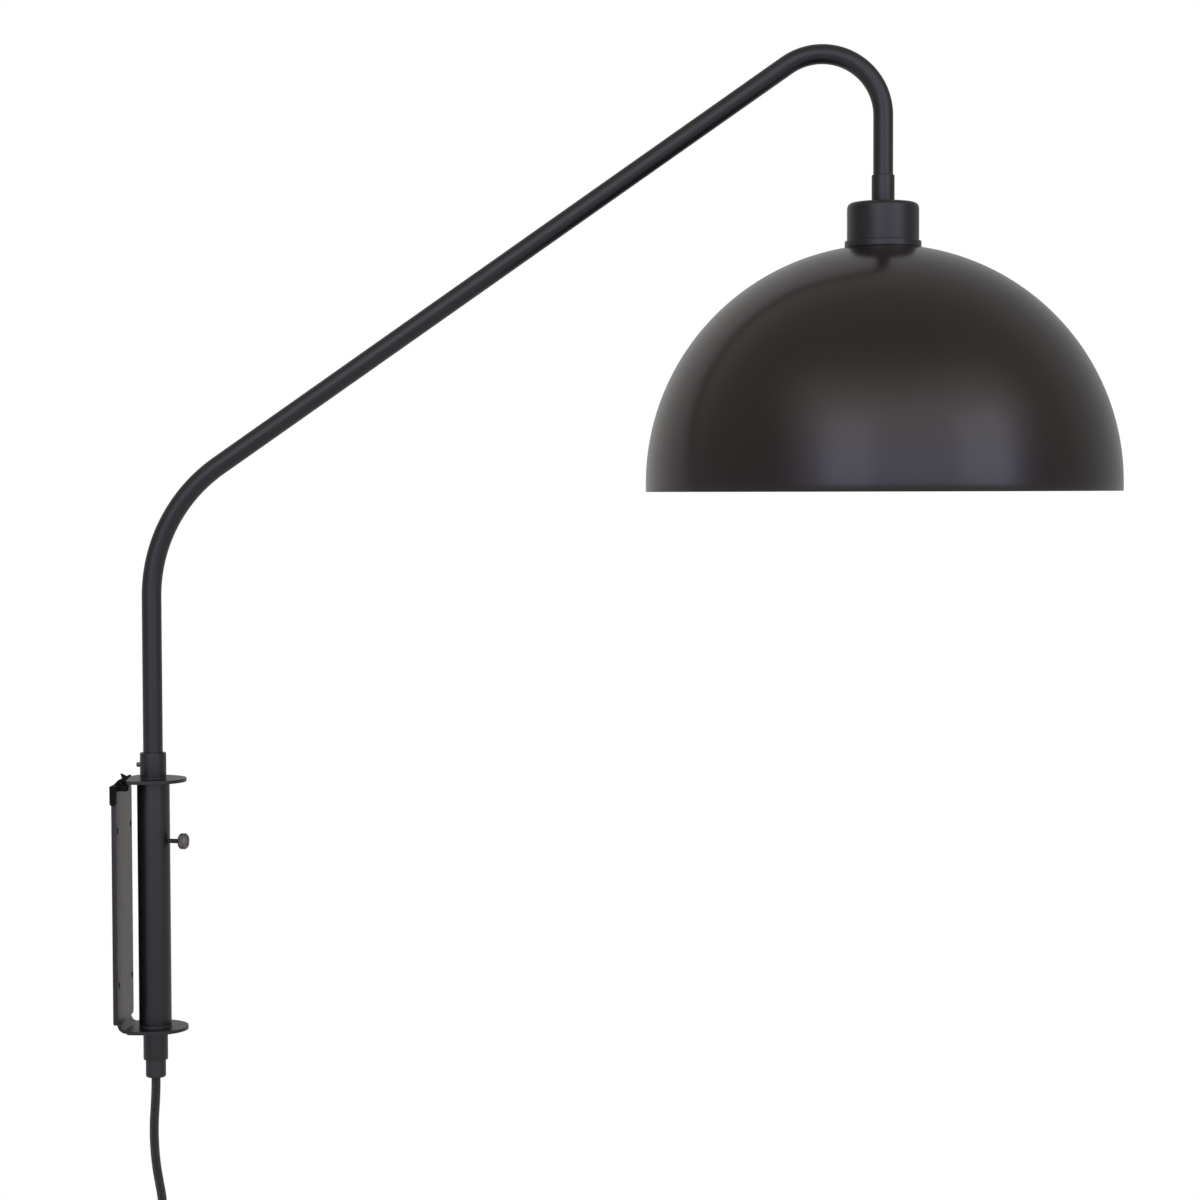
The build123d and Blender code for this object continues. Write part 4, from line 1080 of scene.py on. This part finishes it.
class SCONCE_OT_stage(bpy.types.Operator):
    """Lay the pale floor and put up the soft lights"""
    bl_idname = "sconce.stage"
    bl_label = "Stage"

    def execute(self, context):
        scene = context.scene
        scene.view_settings.view_transform = "Standard"
        floor_z = CAD_BOX[0][2] - 0.5 * MM
        size = 14.0
        corners = np.array([[-size, -size, floor_z], [size, -size, floor_z], [size, size, floor_z],
                            [-size, size, floor_z]])
        mesh = bpy.data.meshes.new("floor")
        mesh.from_pydata(corners.tolist(), [], [[0, 1, 2, 3]])
        floor = bpy.data.objects.new("floor", mesh)
        scene.collection.objects.link(floor)
        f = Finish("floor_paint")
        speck = f.noise(30.0, 3.0)
        tint = f.mix(speck.over(0.3, 0.7), (0.835, 0.835, 0.835), (0.85, 0.85, 0.85))
        paint = f.node("ShaderNodeBsdfDiffuse", None, {"Color": tint})
        shine = f.node("ShaderNodeEmission", None, {"Color": (1, 1, 1, 1), "Strength": 1.0})
        x, y, _ = f.axes(f.moved((0.25, 0.0, 0.0)))
        near = 1 - ((x * x + y * y).root()).over(0.2, 0.85)
        seen = f.node("ShaderNodeLightPath", output="Is Camera Ray")
        lit = f.node("ShaderNodeMixShader", None, {0: (1 - near * 0.75) * seen, 1: paint, 2: shine})
        below = f.node("ShaderNodeNewGeometry", output="Backfacing")
        clear = f.node("ShaderNodeBsdfTransparent")
        f.node_output(f.node("ShaderNodeMixShader", None, {0: below, 1: lit, 2: clear}))
        mesh.materials.append(f.data)

        world = bpy.data.worlds.new("white_room")
        scene.world = world
        w = Finish("white_room", world)
        path = w.tree.nodes.new("ShaderNodeLightPath")
        camera_ray, passed_ray = (
            Reckoned(w, path.outputs[n]) for n in ("Is Camera Ray", "Is Transmission Ray"))
        seen = camera_ray.most(passed_ray)
        x, y, z = w.axes(w.node("ShaderNodeTexCoord", output="Generated"))
        behind = y.over(0.05, 0.75)
        right = x.over(-0.5, 0.5)
        front = 1 - y.over(-0.55, 0.0)
        window = front * x.over(-0.85, -0.40) * (1 - x.over(0.80, 1.0))
        window = window * z.over(-0.30, -0.02) * (1 - z.over(0.45, 0.95))
        room = w.mix(z.over(-0.2, 0.6), (0.34, 0.335, 0.345), (0.46, 0.40, 0.37))
        room = w.mix(behind, room, w.mix(right, (0.60, 0.59, 0.58), (0.45, 0.45, 0.45)))
        room = w.mix(window, room, w.mix(z.over(0.0, 0.6), (1.50, 1.46, 1.95), (1.60, 1.52, 1.52)))
        room = w.mix((1 - z.over(-0.8, -0.1)) * 0.6, room, (0.16, 0.16, 0.16))
        dim = w.node("ShaderNodeBackground", None, {"Color": room, "Strength": 1.0})
        white = w.node("ShaderNodeBackground", None, {"Color": (1, 1, 1, 1), "Strength": 1.0})
        both = w.node("ShaderNodeMixShader", None, {0: seen, 1: dim, 2: white})
        end = w.tree.nodes.new("ShaderNodeOutputWorld")
        w.tree.links.new(both, end.inputs["Surface"])

        lamps = (
            ("left_window", (-0.33, -2.26, 0.85), 0.95, 1.5, 2.6, (0.84, 0.84, 1.0)),
            ("right_window", (2.20, -1.70, 0.85), 1.1, 1.5, 3.2, (0.84, 0.84, 1.0)),
            ("ceiling", (0.3, 0.4, 2.8), 1.6, 1.6, 9.0, (1.0, 0.98, 0.95)),
        )
        target = np.array([0.40, 0.0, 0.22])
        for name, place, wide, high, power, colour in lamps:
            data = bpy.data.lights.new(name, "AREA")
            data.shape = "RECTANGLE"
            data.size = wide
            data.size_y = high
            data.energy = power
            data.color = colour
            lamp = bpy.data.objects.new(name, data)
            lamp.visible_camera = False
            lamp.visible_glossy = name != "ceiling"
            scene.collection.objects.link(lamp)
            back = np.array(place) - target
            back = back / np.linalg.norm(back)
            side = np.cross([0.0, 0.0, 1.0], back)
            side = side / np.linalg.norm(side)
            up = np.cross(back, side)
            lamp.matrix_world = Matrix(
                [[side[i], up[i], back[i], place[i]] for i in range(3)] + [[0, 0, 0, 1]])
        return {"FINISHED"}


class SCONCE_PT_panel(bpy.types.Panel):
    bl_label = "Wall sconce"
    bl_idname = "SCONCE_PT_panel"
    bl_space_type = "VIEW_3D"
    bl_region_type = "UI"
    bl_category = "Sconce"

    def draw(self, context):
        """Show the sizes, the colours and a button for each step."""
        layout = self.layout
        for group in (context.scene.sconce_sizes, context.scene.sconce_colours):
            box = layout.box()
            for name in group.bl_rna.properties.keys():
                if name not in ("rna_type", "name"):
                    box.prop(group, name)
        for operator in STEPS:
            layout.operator(operator.bl_idname)


STEPS = (
    SCONCE_OT_camera, SCONCE_OT_cord, SCONCE_OT_shade, SCONCE_OT_cap, SCONCE_OT_arm, SCONCE_OT_hinge,
    SCONCE_OT_screws, SCONCE_OT_bracket, SCONCE_OT_lampholder, SCONCE_OT_bulb, SCONCE_OT_stage,
)
CLASSES = (SconceSizes, SconceColours, *STEPS, SCONCE_PT_panel)


def register():
    for cls in CLASSES:
        bpy.utils.register_class(cls)
    bpy.types.Scene.sconce_sizes = bpy.props.PointerProperty(type=SconceSizes)
    bpy.types.Scene.sconce_colours = bpy.props.PointerProperty(type=SconceColours)


def unregister():
    del bpy.types.Scene.sconce_colours
    del bpy.types.Scene.sconce_sizes
    for cls in reversed(CLASSES):
        bpy.utils.unregister_class(cls)


def main():
    register()
    for operator in STEPS:
        group, name = operator.bl_idname.split(".")
        getattr(getattr(bpy.ops, group), name)()


if __name__ == "__main__":
    main()
